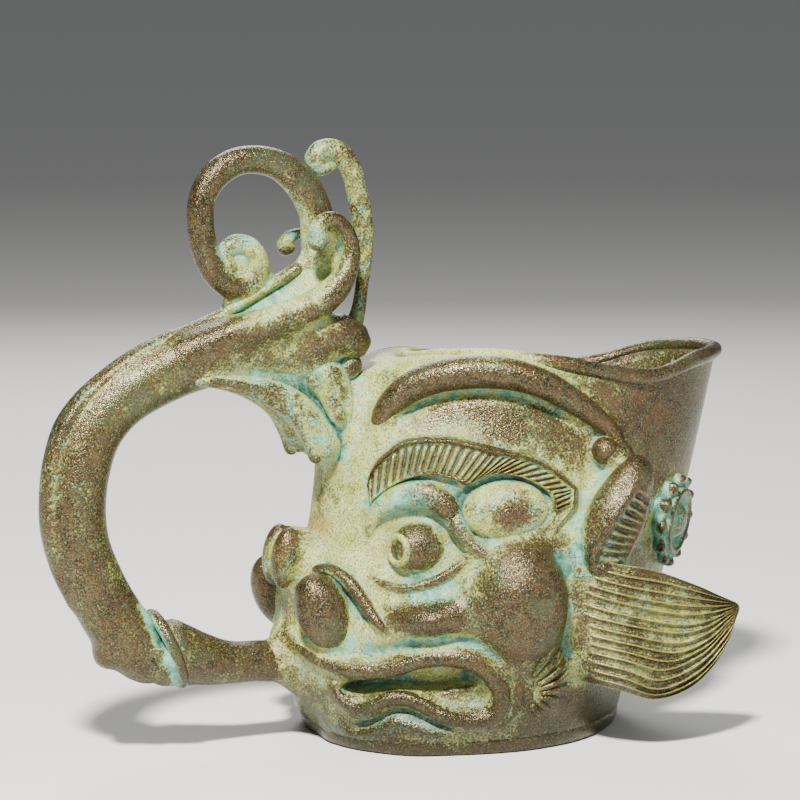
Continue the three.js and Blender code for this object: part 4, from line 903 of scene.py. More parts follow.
BUD_EDGE = [
    (-47, 84.6, 0.7), (-38, 82.8, 1.1), (-31, 79.8, 1.3), (-26.4, 75.0, 1.4), (-23.4, 69.8, 1.5),
    (-22.2, 66.6, 1.6), (-21.4, 64.8, 1.5),
]
BUD_SMALL = [
    (-24.0, 84.6, 1.4), (-20.6, 81.6, 2.0), (-18.0, 77.8, 2.3), (-16.6, 74.4, 2.1), (-16.8, 72.6, 1.3),
]
# the planes in which the lobes and the buds lie
LOBE_Y, LOBE_LOW_Y, BUD_Y, BUD_EDGE_Y, BUD_SMALL_Y = -5.2, -4.2, -5.6, -7.4, -7.6
print("knots of the ring:", len(RING))

# %% [markdown]
# On the real goblet all of these flow out of the handle, so the handle's skin is melted into their lowest
# parts, and the ring's skin into the keel.
# %% Melting the handle into its scrolls
def facings(points, squares, fans):
    """Outward direction at each point: the sum of the crossed diagonals of its squares."""
    total = np.zeros_like(points)
    a, b, c, d = (points[squares[:, k]] for k in range(4))
    crossed = np.cross(c - a, d - b)
    for k in range(4):
        np.add.at(total, squares[:, k], crossed)
    a, b, c = (points[fans[:, k]] for k in range(3))
    crossed = np.cross(b - a, c - a)
    for k in range(3):
        np.add.at(total, fans[:, k], crossed)
    return unit(total) * np.sign(volume(points, squares, fans))


def melted(surface, limbs, reach=6.0):
    """The surface slid out along its own facing to the smooth union with the limbs of both sides."""
    melt_sides(surface[0], facings(*surface), limbs, limbs, reach)
    return surface


def plane_tube(knots, blend, y=0.0, shrink=0.35):
    """Limb along a bar in the upright plane at y."""
    return Tube(walk(in_plane(knots, y), 0.7), blend, shrink)


leaf_rows = walk(LEAF_RIDGE, 0.5, (1.4, 1.9))
crest_limbs = [
    plane_tube(SPINE[:12], 3.0), Tube(leaf_rows[: len(leaf_rows) // 2], 6.0), plane_tube(LOBE, 2.4, LOBE_Y),
    plane_tube(BUD[:4], 2.0, BUD_Y, 0.6), Tube(NECK, 5.0, 0.6), Egg((-69.6, 0, 23.4), (2.6, 3.6, 2.8), 3.0),
    plane_tube(TENDRIL[:3], 2.5, 0.0, 0.5),
]
stem_limbs = [plane_tube(SPINE[9:], 2.5, 0.0, 0.2), Tube(leaf_rows[40:60], 1.5, 0.6)]
handle_bar = plane_bar(HANDLE, 0.0, 0.7, 72, section=handle_section)
keep("handle", "worn_bronze", melted(handle_bar, crest_limbs))
keep("handle_spine", "verdigris", plane_bar(SPINE, 0.0, 0.6, 24, 1.5))
lobes = (plane_bar(LOBE, LOBE_Y, 0.5, 40, 0.9), plane_bar(LOBE_LOW, LOBE_LOW_Y, 0.4, 32))
keep_pair("crest_lobe", "worn_bronze", merged(*lobes))
print("handle:", len(pieces["handle"]["squares"]) * 2, "triangles")

# %% [markdown]
# The leaf is a rolled edge with a hollow face beside it, as in a curled leaf. The right one's curl is lower.
# The ring and the tendril end in spirals, whose eyes are filled with a flat button.
# %% Leaves, ring, tendril and buds
LEAF_ROWS, LEAF_COLUMNS = 121, 25
RIGHT_CURL_START, RIGHT_CURL_SHARE = 108, 0.72


def leaf_face():
    """Hollow face from the middle plane to the rolled edge: straight across, less a sag of 4 t (1 - t)."""
    inner = np.array([(x, -0.4, z) for x, z in LEAF_INNER])
    outer = np.array(LEAF_RIDGE)[:10, :3]
    s = np.linspace(0, 1, LEAF_ROWS)
    inner, outer = (through(np.linspace(0, 1, len(line)), line, s)[:, None] for line in (inner, outer))
    t = np.linspace(0, 1, LEAF_COLUMNS)[None, :, None]
    face = inner * (1 - t) + outer * t + 4 * t * (1 - t) * np.array([0.3, 1.0, -0.9])
    back = face * [1, 0.35, 1] + [1.6, 0.5, -2.6]
    return closed(np.concatenate([face, back[:, ::-1]], 1))


leaf = merged(sweep(leaf_rows, ACROSS, 36), leaf_face())
keep("crest_leaf_left", "worn_bronze", leaf)
right_leaf = mirrored(leaf, 1.0)
past = np.maximum(leaf[0][:, 2] - RIGHT_CURL_START, 0)
right_leaf[0][:, 2] -= past * (1 - RIGHT_CURL_SHARE)
keep("crest_leaf_right", "worn_bronze", right_leaf)
ring_bar = melted(plane_bar(RING, 0.0, 0.5, 48), stem_limbs, 2.5)
keep("ring_scroll", "worn_bronze", merged(ring_bar, egg((-37.6, 0, 109.4), (4.4, 1.2, 4.4))))
tendril = (plane_bar(TENDRIL, 0.0, 0.5, 32), egg((-15.8, 0, 132.0), (2.6, 1.0, 2.6), None, 20, 32))
keep("tendril_scroll", "worn_bronze", merged(*tendril))
buds = (
    plane_bar(BUD, BUD_Y, 0.5, 40), plane_bar(BUD_EDGE, BUD_EDGE_Y, 0.4, 20),
    plane_bar(BUD_SMALL, BUD_SMALL_Y, 0.4, 28),
)
keep_pair("handle_bud", "verdigris", merged(*buds))
print("pieces so far:", len(pieces))

# %% [markdown]
# ## The face
# The face is put on in soft lumps, as a modeller does: a nose of two lobes, round nostrils with a fold over
# them, bulging eyes with a ring for the pupil, heavy lids, bosses, horns and lips. They are the same limbs
# that the skin melted into, now as pieces of their own.
# %% Nose, eyes and lids
nose = egg(NOSE["place"], NOSE["sizes"], turned(NOSE["turn"]))
keep("nose_lobe", "green_patina", merged(nose, mirrored(nose)))
keep_pair("nostril", "worn_bronze", egg(NOSTRIL["place"], NOSTRIL["sizes"], turned(NOSTRIL["turn"])))
keep_pair("nostril_curl", "worn_bronze", chart_bar(NOSTRIL_CURL, 0.4, 24))


def about_look(angle):
    """Direction at an angle round the line along which the left eye looks."""
    return np.cos(angle) * EYE_FRAME[1] + np.sin(angle) * EYE_FRAME[2]


polar, eye_turn = np.linspace(0, np.pi, 44)[:, None, None], around(64)[:, None]
eye_out = EYE["long"] * np.cos(polar) * PUPIL_LOOK + EYE["radius"] * np.sin(polar) * about_look(eye_turn)
eye_rings = eye_place + eye_out
keep_pair("eye", "worn_bronze", shell(eye_rings[1:-1], eye_rings[0, 0], eye_rings[-1, 0]))
PUPIL_RADIUS, PUPIL_TUBE = 2.95, 0.8
pupil_out = EYE["long"] * np.sqrt(1 - (PUPIL_RADIUS / EYE["radius"]) ** 2) + 0.1
pupil_line = eye_place + PUPIL_LOOK * pupil_out + PUPIL_RADIUS * about_look(eye_turn)
pupil_rows = np.column_stack([pupil_line, np.full(len(eye_turn), PUPIL_TUBE)])
keep_pair("pupil_ring", "green_patina", sweep(pupil_rows, PUPIL_LOOK, 20, meets_itself=True))
keep_pair("upper_lid", "green_patina", chart_bar(LID_UPPER))
keep_pair("lower_lid", "green_patina", chart_bar(LID_LOWER))
keep_pair("temple_boss", "green_patina", egg(boss_place, BOSS["sizes"], boss_frame))
horn_ball = egg(horn_ball_place, [HORN_BALL["radius"]] * 3, None, 24, 36)
keep_pair("horn", "worn_bronze", merged(chart_bar(HORN, 0.5, 32), horn_ball), right_drop=RIGHT_HORN_DROP)
keep_pair("lips", "worn_bronze", chart_bar(LIPS, 0.45, 28))
print("pieces so far:", len(pieces))

# %% [markdown]
# The brow is a comb: two edges on the chart, with some thirty fine ribs between them, as a graver cuts them
# into the wax. Such a plate has a fine face and a coarser back, which is hidden in the head. The ribs are
# also kept as a mark, for a painted shade in their grooves and a painted highlight on their crests.
# %% The comb of the brow
RIB_COUNT, RIB_HEIGHT, BROW_DEPTH = 34, 0.42, 1.8
RIM_HIGH, RIM_WIDE, FIELD_HIGH, INNER_HIGH, INNER_AT = 2.7, 0.1, 1.3, 0.4, 0.93


def shares(rows, columns):
    """s down the rows and t along the columns of a plate, both from 0 to 1."""
    return np.broadcast_arrays(np.linspace(0, 1, rows)[:, None], np.linspace(0, 1, columns)[None, :])


def plate(face, back, mark, margin, step):
    """Closed plate with every step-th column of its back, and the face's mark, which is 0 on the back."""
    back = back[:, ::-1][:, margin:-margin:step]
    return closed(np.concatenate([face, back], 1)), np.concatenate([mark, np.zeros(back.shape[:2])], 1)


def brow_height(s, t):
    """Raised outer rim, then ribs, then a thin inner rim. The edges are sunk in the skin."""
    rim = RIM_HIGH * np.exp(-(((t - BROW_CREST) / RIM_WIDE) ** 2))
    ribs = np.cos(2 * np.pi * RIB_COUNT * s)
    ribs = np.sign(ribs) * np.abs(ribs) ** 0.8
    field = smooth(t, 0.2, 0.34) * smooth(1 - t, 0.06, 0.16) * smooth(0.93 - s, 0, 0.03)
    inner = INNER_HIGH * np.exp(-(((t - INNER_AT) / 0.05) ** 2))
    height = np.maximum(rim, FIELD_HIGH + inner) + RIB_HEIGHT * ribs * field
    height = height * (0.35 + 0.65 * smooth(s, 0, 0.05) * smooth(1 - s, 0, 0.12))
    sunk = smooth(t, 0, 0.06) * smooth(1 - t, 0, 0.04) * smooth(s, 0, 0.012) * smooth(1 - s, 0, 0.02)
    return height * sunk - 1.2 * (1 - sunk), ribs * field


s, t = shares(561, 41)
height, mark = brow_height(s, t)
brow_x, brow_z = np.moveaxis(brow_place(s, t), -1, 0)
brow_face, brow_back = skin(brow_x, brow_z, height), skin(brow_x, brow_z, -BROW_DEPTH)
keep_pair("brow", "worn_bronze", *plate(brow_face, brow_back, mark, 1, 4))
print("brow:", len(pieces["brow_left"]["squares"]) * 2, "triangles")

# %% [markdown]
# ## Mane, ear, whiskers and rosette
# The mane sweeps back from the cheek and ends in a point. Its thin locks run side by side, like the ribs of
# a fan, and meet at the tip. Seven lines on the chart carry its surface, and the locks are waves across it.
# %% Mane
# seven lines from the cheek to the tip, from the top one to the keel
MANE_LINES = [
    [(30.6, 45.0), (36.2, 43.2), (45, 41.4), (55.2, 37.4), (61.2, 34.6), (66.2, 32.4)],
    [(27.4, 37.4), (38.6, 34.2), (50.6, 31.4), (58.4, 31.2), (63, 31.6), (66.6, 32.0)],
    [(26.6, 32.4), (38.8, 29.4), (49.8, 27.2), (56.9, 28.0), (62.2, 30), (66.8, 31.6)],
    [(26.6, 28), (38.6, 25.2), (49.2, 22.8), (57.2, 25.0), (62.6, 28.4), (67, 31.2)],
    [(27.6, 23.6), (37.5, 21.6), (46.4, 19.0), (55.6, 21.6), (62.4, 26.6), (67, 30.8)],
    [(29.2, 19.2), (37.6, 17.4), (45.6, 14.6), (54.8, 17.4), (62.2, 23.4), (66.8, 30)],
    [(31, 15.6), (37.6, 14.2), (45.4, 12.0), (54.4, 14.4), (61.8, 20.8), (66.4, 29.2)],
]
# y of the later knots on the first and last line, and on the middle one
MANE_OUT = np.array([(-41.8, -43.6, -44.4, -44.2, -43.4), (-43.2, -45.2, -45.6, -44.9, -43.6)])
LOCKS, LOCK_HEIGHT, LOCK_SHARPNESS = 14, 0.45, 4.5
mane_knots = []
for row, line in enumerate(MANE_LINES):
    share = np.sin(np.pi * row / (len(MANE_LINES) - 1))
    x, z = np.array(line).T
    at_cheek = -half_width(x[0], z[0]) - relief(x[0], z[0]) * 0.7
    y = (1 - share) * MANE_OUT[0] + share * MANE_OUT[1]
    mane_knots.append(np.column_stack([x, np.r_[at_cheek, y], z]))

s, t = shares(121, 321)
columns = through(np.linspace(0, 1, len(mane_knots)), np.array(mane_knots), t[0])
mane_face = np.stack([through(np.linspace(0, 1, 6), knots, s[:, 0]) for knots in columns], 1)
# the first two lines lie further apart, so four locks fit between them
phase = np.interp(t, [0, 1 / 6, 1], [0, 4, LOCKS])
ridge = 2 * np.abs(np.cos(np.pi * phase)) ** LOCK_SHARPNESS - 1
fade = smooth(s, 0.02, 0.12) * smooth(1 - s, 0.0, 0.12)
edge = smooth(t, 0, 0.05) * smooth(1 - t, 0, 0.05)
mane_face[..., 1] -= LOCK_HEIGHT * (ridge + 0.4) * fade * (0.4 + 0.6 * edge)
mane_face[..., 1] += 1.6 * (1 - smooth(s, 0, 0.09)) + 1.2 * (1 - edge) * (1 - smooth(s, 0.2, 0.5))
mane_back = mane_face.copy()
mane_back[..., 1] = np.minimum(mane_back[..., 1] + 7.5 * np.sin(np.pi * s**0.5) ** 0.5 + 1.0, -24)
# the locks' mark: a painted highlight on their crests and a little painted shade between them
mark = np.where(ridge < 0, 0.2 * ridge, ridge) * fade
keep_pair("mane", "green_patina", *plate(mane_face, mane_back, mark, 4, 8))
print("mane:", len(pieces["mane_left"]["squares"]) * 2, "triangles")

# %% [markdown]
# The ear is a shell that is open towards the rear, like a half-closed hand. It is a thick bar whose section
# sinks in on one side, with ribs across the hollow. The whiskers are short strokes on a low pad.
# %% Ear and whiskers
EAR_RIBS = 15


def ear_open(u, angle):
    """Where the ear is open: 1 in the middle of its mouth, which faces backwards and a little outwards."""
    wrapped = (angle + np.pi) % (2 * np.pi) - np.pi
    front = 2.5 - 1.0 * u
    mouth = smooth(wrapped, 0.0, 0.3) * smooth(front - wrapped, 0, 0.25)
    return mouth * smooth(u, 0.1, 0.22) * smooth(0.86 - u, 0, 0.25), wrapped - front


def ear_section(u, angle):
    """The ear's section sinks to half its size where it is open, with a lip along the edge."""
    mouth, wrapped = ear_open(u, angle)
    lips = 0.08 * np.exp(-(((wrapped - 0.1) / 0.2) ** 2)) * smooth(u, 0.08, 0.2) * smooth(0.9 - u, 0, 0.2)
    size = 1 - 0.5 * mouth + lips + 0.08 * mouth * np.cos(2 * np.pi * EAR_RIBS * u)
    return size * np.cos(angle), 0.85 * size * np.sin(angle)


ear_rows = walk(EAR_AXIS, 0.22, (2.2, 2.6))
ear = sweep(ear_rows, [0, -1.0, 0], 72, section=ear_section)
run = np.r_[0, np.cumsum(np.linalg.norm(np.diff(ear_rows[:, :3], axis=0), axis=1))]
u = (run / run[-1])[1:-1, None]
# the ear's ribs carry a mark for painted shade in their grooves and a painted highlight on their crests
keep_pair("ear", "worn_bronze", ear, ear_open(u, around(72)[None, :])[0] * np.cos(2 * np.pi * EAR_RIBS * u))

# each stroke as three chart places
WHISKERS = [
    ((18.3, 18.4), (20.2, 22.4), (22.6, 26.6)), ((18.8, 17.4), (21.8, 20.8), (25.2, 24.2)),
    ((19.6, 16.4), (23.2, 18.8), (27.2, 21.4)), ((20.2, 15.3), (24.2, 16.8), (28.4, 18.2)),
    ((20.4, 14.2), (24.2, 14.8), (28.6, 15.0)), ((20.2, 13.2), (22.8, 12.8), (25.7, 12.0)),
    ((19.6, 12.2), (21.4, 11.2), (23.4, 9.8)), ((18.6, 11.6), (19.6, 10.2), (20.7, 8.6)),
]
strokes = [chart_bar([(*a, 0.6, 0.7), (*b, 0.8, 1.2), (*c, 0.5, 0.5)], 0.4, 16) for a, b, c in WHISKERS]
pad = egg(skin(21.5, 14.8, -1.5), (3.0, 1.6, 5.6), facing_frame(outward(21.5, 14.8), 15), 24, 36)
keep_pair("whiskers", "green_patina", merged(pad, *strokes))
print("ribs in the ear:", EAR_RIBS, "strokes:", len(WHISKERS))

# %% [markdown]
# The rosette is a flower with a button, a ring and twelve petals. A founder would press it from a stamp, but
# here it is turned about its middle, with waves round its edge for the petals. A cord of beads runs up the
# rear, as a bar whose radius swells and shrinks.
# %% Rosette and beads
ROSETTE = dict(at=(61.0, 48.6), radius=11.0, petals=12)
# share of the radius, and height over the wall
ROSETTE_PROFILE = np.array([
    (0.01, 3.4), (0.12, 3.3), (0.24, 2.9), (0.32, 2.1), (0.38, 1.2), (0.43, 0.9), (0.48, 1.0), (0.54, 1.6),
    (0.6, 2.3), (0.66, 2.5), (0.7, 2.2), (0.74, 1.3), (0.8, 1.0), (0.86, 1.4), (0.92, 1.6), (0.96, 1.4),
    (0.99, 0.9), (1.0, 0.0), (0.99, -2.6),
])
rose_out = outward(*ROSETTE["at"])
profile = through(np.linspace(0, 1, len(ROSETTE_PROFILE)), ROSETTE_PROFILE, np.linspace(0, 1, 61))
reach, height = profile.T[..., None]
angle = around(288)
petals = np.cos(ROSETTE["petals"] * angle)
distance = ROSETTE["radius"] * reach * (1 - 0.055 * (1 - petals) * smooth(reach, 0.72, 1.0))
height = height + 0.5 * petals * smooth(reach, 0.74, 0.84) * (height > -1)
rose_across = unit(np.cross([0, 0, 1.0], rose_out))
spokes = np.cos(angle)[:, None] * rose_across + np.sin(angle)[:, None] * np.cross(rose_out, rose_across)
rose_rings = skin(*ROSETTE["at"]) + height[..., None] * rose_out + distance[..., None] * spokes
keep_pair("rosette", "verdigris", closed(rose_rings))
BEADS = dict(low=28, high=78, start=30, length=46, count=8, thin=1.1, swell=1.3)
bead_z = np.linspace(BEADS["low"], BEADS["high"], 260)
bead_wave = np.abs(np.sin((bead_z - BEADS["start"]) / BEADS["length"] * BEADS["count"] * np.pi))
bead_radius = BEADS["thin"] + BEADS["swell"] * bead_wave
bead_rows = np.column_stack([section(bead_z)[1] + 0.2, 0 * bead_z, bead_z, bead_radius])
keep("back_beads", "verdigris", sweep(bead_rows, ACROSS, 24))
print("pieces:", len(pieces), "solids:", len(frame["nodes"]))

# %% [markdown]
# ## Where the patina lies
# On an old bronze, the high places are rubbed brown and the hollows keep turquoise corrosion. To know high
# from low, the whole goblet is filled into a grid of cells, and the grid is blurred. On a flat face the
# blurred value is one half. On an edge it is less, and in a hollow it is more.
# %% Solid and air
CELL, AIR_MARGIN = 0.8, 12


def sprinkle(piece, spacing):
    """Points on all faces, at most the spacing apart: each face is split into 1, 2, 4 ... parts a side."""
    a, b, c = corners(piece["points"], piece["squares"], piece["fans"])
    longest = np.linalg.norm([a - b, b - c, c - a], axis=-1).max(0)
    parts = 2 ** np.ceil(np.log2(np.maximum(longest / spacing, 1))).astype(int)
    found = [piece["points"]]
    for count in np.unique(parts):
        i, j = np.meshgrid(np.arange(count + 1), np.arange(count + 1), indexing="ij")
        inside = (i + j <= count) & (i + j > 0)
        u, v = i[inside][:, None] / count, j[inside][:, None] / count
        start, edge_u, edge_v = (side[parts == count][:, None] for side in (a, b - a, c - a))
        found.append((start + u * edge_u + v * edge_v).reshape(-1, 3))
    return np.concatenate(found)


everything = [sprinkle(piece, CELL * 0.9) for piece in pieces.values()]
grid_low = np.min([points.min(0) for points in everything], 0) - AIR_MARGIN
grid_high = np.max([points.max(0) for points in everything], 0) + AIR_MARGIN
grid_shape = np.ceil((grid_high - grid_low) / CELL).astype(int) + 1
touched = np.zeros(grid_shape, bool)
for points in everything:
    touched[tuple(np.floor((points - grid_low) / CELL).astype(int).T)] = True

# air comes in from the sides of the grid and spreads until nothing changes
air = np.ones(grid_shape, bool)
air[1:-1, 1:-1, 1:-1] = False
free = ~touched
amount = 0
while air.sum() > amount:
    amount = air.sum()
    for axis in range(3):
        spread, room = np.moveaxis(air, axis, 0), np.moveaxis(free, axis, 0)
        for k in range(1, len(spread)):
            spread[k] |= spread[k - 1] & room[k]
        for k in range(len(spread) - 2, -1, -1):
            spread[k] |= spread[k + 1] & room[k]
print("grid", grid_shape, "solid share", round(float(1 - air.mean()), 4))

# %% [markdown]
# The blur is a Gaussian. It is quickest to do in waves, because there it is one product. Each point then
# reads its own value between the eight cells around it, once from a narrow blur and once from a wide one.
# %% Blurred solid
NARROW, WIDE = 1.3, 4.0
waves = np.fft.rfftn((~air).astype(np.float32))
lengths = [np.fft.fftfreq(n, CELL) for n in grid_shape[:2]] + [np.fft.rfftfreq(grid_shape[2], CELL)]
wave_square = sum(part**2 for part in np.ix_(*lengths))


def blurred(width):
    """The solid under a Gaussian of this width in mm, by multiplying its waves."""
    soft = np.fft.irfftn(waves * np.exp(-2 * np.pi**2 * width**2 * wave_square), s=tuple(grid_shape))

    def at(points):
        place = (points - grid_low) / CELL - 0.5
        cell = np.floor(place).astype(int)
        total = np.zeros(len(points))
        for step in np.ndindex(2, 2, 2):
            share = np.abs(1 - np.array(step) - (place - cell)).prod(1)
            total += share * soft[tuple((cell + step).T)]
        return total

    return at


near_blur, wide_blur = blurred(NARROW), blurred(WIDE)
for piece in pieces.values():
    piece["near"] = near_blur(piece["points"])
    piece["wide"] = wide_blur(piece["points"])
middle = {key: float(np.median(pieces["cup_body"][key])) for key in ("near", "wide")}
print("flat skin reads", {key: round(value, 3) for key, value in middle.items()})

# %% [markdown]
# The metal's colour also changes from place to place: the cheek is brown, the nose is cream. A patch on the
# chart has a place, two half sizes, a turn, and how brown and how turquoise it is. Every piece has its own
# amounts too, and its edges and hollows count on top.
# %% Painting the pieces
# x, z, half length, half height, turn in degrees, brown, turquoise
PATCHES = np.array([
    [15.6, 34.5, 9.5, 11.5, 0, 0.62, 0.0],
    [-3.8, 31.6, 6.4, 4.2, 6, 0.55, 0.0],
    [21, 34, 8, 12, 0, 0.3, 0.0],
    [6.5, 32, 5, 6, 20, 0.1, 0.15],
    [-4, 37, 8, 2.5, 0, 0.0, 0.35],
    [-16, 46, 8, 9, 0, -0.3, -0.1],
    [-13, 60, 5, 14, 0, -0.3, 0.05],
    [14, 75, 18, 5, -8, 0.3, -0.1],
    [4, 91, 16, 4, 0, -0.3, 0.0],
    [-12, 76, 5, 8, 0, -0.35, 0.05],
    [56, 74, 18, 14, 0, 0.42, -0.2],
    [50, 52, 7, 14, 10, 0.0, 0.25],
    [33, 56, 5, 9, 0, 0.15, 0.0],
    [29, 46, 5, 5, 0, 0.1, 0.3],
    [-10, 26.5, 14, 3, 5, -0.25, 0.25],
    [-1, 17.5, 12, 3, 0, -0.2, -0.15],
    [-14, 5, 12, 7, 0, 0.12, 0.25],
    [-6, 8, 8, 2, 0, -0.1, 0.35],
    [19, 12, 6, 8, 0, 0.3, 0.0],
    [34, 8, 20, 9, 0, 0.45, 0.0],
    [-24, 24, 4, 6, 0, -0.2, 0.1],
    [10, 90, 15, 4, 0, -0.9, 0.0],
    [13.8, 54.6, 4.2, 3.0, 0, 0.6, 0.0],
    [32, 53, 4.5, 12, -20, -0.4, 0.1],
    [-31, 118, 10, 11, 0, -1.1, 0.3],
    [-38, 110, 5, 5, 0, -0.2, 0.15],
    [-30, 102, 13, 3.5, 25, -0.5, 0.1],
    [-20, 114, 4, 5, 0, -0.3, 0.15],
    [-8, 57, 6, 3, 25, -0.25, 0.35],
    [2, 56, 4, 4, 0, 0.3, 0.0],
])
# how brown a piece is, how turquoise, and how much its own edges and hollows count
PIECE_PAINT = {
    "cup_body": (0.4, 0.08, 0.8), "foot_plate": (0.6, 0.0, 0.6), "mouth_rim": (0.62, 0.0, 0.6),
    "tongue": (0.56, 0.05, 1.0), "handle": (0.56, 0.06, 1.0), "handle_neck": (0.4, 0.15, 1.0),
    "handle_spine": (0.5, 0.15, 0.8), "crest_lobe": (0.66, 0.05, 1.0), "crest_leaf": (0.44, 0.12, 1.2),
    "ring_scroll": (0.66, 0.06, 1.0), "tendril_scroll": (0.14, 0.28, 0.7), "handle_bud": (0.2, 0.2, 1.1),
    "nose_lobe": (0.34, 0.15, 1.0), "nostril": (0.72, 0.0, 1.0), "nostril_curl": (0.46, 0.15, 1.0),
    "eye": (0.62, 0.05, 1.0), "pupil_ring": (0.1, 0.1, 0.5), "upper_lid": (0.36, 0.2, 1.0),
    "lower_lid": (0.4, 0.15, 1.0), "temple_boss": (0.1, 0.2, 1.0), "brow": (0.46, 0.15, 1.0),
    "horn": (0.7, 0.0, 0.8), "lips": (0.52, 0.05, 1.0), "whiskers": (0.3, 0.0, 1.0), "ear": (0.6, 0.1, 1.2),
    "mane": (0.5, 0.08, 0.5), "rosette": (0.34, 0.34, 1.8), "back_beads": (0.35, 0.35, 1.2),
}
# pieces that take the chart's patches in full, and the share that the others take
PATCHED = {"cup_body", "mouth_rim", "temple_boss", "upper_lid", "ear", "ring_scroll", "crest_leaf"}
OTHER_SHARE = 0.3
# the turquoise line behind the tongue's collar: which way is behind, how far, how wide and up to where
SEAM = dict(behind=(0.93, 0, 0.37), shift=2.0, width=1.2, top=37)


def chart_paint(points):
    """Sum of the patches over a point's x and z, each falling off as a Gaussian."""
    brown, turquoise = np.zeros(len(points)), np.zeros(len(points))
    for *patch, more_brown, more_turquoise in PATCHES:
        weight = spot(points[:, 0], points[:, 2], patch)
        brown += more_brown * weight
        turquoise += more_turquoise * weight
    return brown, turquoise


for node, piece in pieces.items():
    name = node.removesuffix("_left").removesuffix("_right")
    brown, turquoise, own = PIECE_PAINT[name]
    patch_share = 1.0 if name in PATCHED else OTHER_SHARE
    patch_brown, patch_turquoise = chart_paint(piece["points"])
    # an edge reads less than flat skin, and a hollow reads more: the weights were set
    near, wide = piece["near"] - middle["near"], piece["wide"] - middle["wide"]
    edge = np.maximum(-near * 1.5 - wide * 0.7, 0)
    hollow = np.maximum(near * 1.6 + wide * 1.1, 0)
    crease = np.maximum(near - 0.03, 0)
    z = piece["points"][:, 2]
    piece["brown"] = brown + patch_share * patch_brown + own * (edge - hollow)
    corroded = crease * 2.4 + np.maximum(wide, 0) * 0.9
    piece["turquoise"] = turquoise + patch_share * patch_turquoise + own * corroded
    # painted shade in the creases, and a darkening towards the bottom
    piece["shade_and_low_darkening"] = smooth(28 - z, 0, 28) * 0.8 + crease * 3.2
    if name in ("handle", "tongue"):
        behind = (piece["points"] - COLLAR_MIDDLE) @ SEAM["behind"] + SEAM["shift"]
        seam = np.exp(-((behind / SEAM["width"]) ** 2)) * smooth(SEAM["top"] - z, 0, 3)
        piece["turquoise"] += 0.8 * seam
        piece["brown"] -= 0.6 * seam
print("painted", len(pieces), "pieces")

# %% [markdown]
# ## The metal
# One shader group makes the patina for every material. It reads the painted amounts from the mesh, breaks
# their borders up with noise, and gives colour, roughness, metal and the height of the grain. Noise in space
# runs on over the joints, where pictures of a patina would have to be fitted to every piece.
# %% The patina group
PATINA = bpy.data.node_groups.new("bronze_patina", "ShaderNodeTree")
for name, value in (("More brown", 0.0), ("More turquoise", 0.0), ("Cream", 0.4)):
    PATINA.interface.new_socket(name, in_out="INPUT", socket_type="NodeSocketFloat").default_value = value
for name, kind in (("Color", "Color"), ("Roughness", "Float"), ("Metallic", "Float"), ("Height", "Float")):
    PATINA.interface.new_socket(name, in_out="OUTPUT", socket_type="NodeSocket" + kind)
group_in, group_out = PATINA.nodes.new("NodeGroupInput"), PATINA.nodes.new("NodeGroupOutput")


def put(source, socket):
    """Links a socket, or sets a plain number or colour."""
    if isinstance(source, bpy.types.NodeSocket):
        PATINA.links.new(source, socket)
    else:
        socket.default_value = source


def maths(operation, a, b, clamp=False):
    """One sum of two sockets or numbers."""
    node = PATINA.nodes.new("ShaderNodeMath")
    node.operation, node.use_clamp = operation, clamp
    put(a, node.inputs[0])
    put(b, node.inputs[1])
    return node.outputs[0]


def add(first, *others):
    """Everything added up."""
    for other in others:
        first = maths("ADD", first, other)
    return first


def times(a, b):
    """The product of two sockets or numbers."""
    return maths("MULTIPLY", a, b)


def ramp(value, low, high, to_low=0.0, to_high=1.0):
    """An S from to_low, where the value is low, to to_high, where it is high."""
    node = PATINA.nodes.new("ShaderNodeMapRange")
    node.interpolation_type = "SMOOTHSTEP"
    for name, source in (
        ("Value", value), ("From Min", low), ("From Max", high), ("To Min", to_low), ("To Max", to_high),
    ):
        put(source, node.inputs[name])
    return node.outputs["Result"]


def blend(share, a, b):
    """The colour a where the share is 0, and b where it is 1. The node has sockets of other kinds too."""
    node = PATINA.nodes.new("ShaderNodeMix")
    node.data_type = "RGBA"
    sockets = {socket.name: socket for socket in node.inputs if socket.enabled}
    for name, source in (("Factor", share), ("A", a), ("B", b)):
        put(source, sockets[name])
    return next(socket for socket in node.outputs if socket.enabled)


def srgb(r, g, b):
    """A colour as a picture shows it, 0 to 255, made linear."""
    v = np.array([r, g, b]) / 255
    linear = np.where(v <= 0.04045, v / 12.92, ((v + 0.055) / 1.055) ** 2.4)
    return (*linear.tolist(), 1.0)


def layers(colour, *rows):
    """Lays colours over a colour. A row is a noise, from where to where, how strong, and r, g, b."""
    for value, low, high, strength, *over in rows:
        colour = blend(ramp(value, low, high, 0.0, strength), colour, srgb(*over))
    return colour


print("group sockets:", len(PATINA.interface.items_tree))

# %% [markdown]
# The grains of a patina come in many sizes, from clouds as wide as a thumb down to dust. Each noise has its
# size in millimetres and its own seed, so that no two of them line up.
# %% Noises
place = PATINA.nodes.new("ShaderNodeTexCoord").outputs["Object"]


def noise(size_mm, detail, roughness, seed, distortion=0.0):
    """Noise with blobs about this size."""
    node = PATINA.nodes.new("ShaderNodeTexNoise")
    node.noise_dimensions = "4D"
    put(place, node.inputs["Vector"])
    for name, value in (
        ("W", seed), ("Scale", 1 / (size_mm * MM)), ("Detail", detail), ("Roughness", roughness),
        ("Distortion", distortion),
    ):
        node.inputs[name].default_value = value
    return node.outputs["Fac"]


def painted(name):
    """An amount that is stored on the mesh."""
    node = PATINA.nodes.new("ShaderNodeAttribute")
    node.attribute_name = name
    return node.outputs["Fac"]


cloud = noise(9.0, 4.0, 0.6, 1.0)
blotch = noise(2.6, 4.0, 0.62, 2.0, 0.4)
grain = noise(0.5, 2.0, 0.7, 3.0)
dust = noise(0.4, 1.0, 0.6, 4.0)
streak = noise(4.5, 5.0, 0.65, 5.0, 0.8)
speck = noise(0.6, 1.0, 0.5, 6.0)
patch = noise(14.0, 3.0, 0.6, 7.0, 0.3)


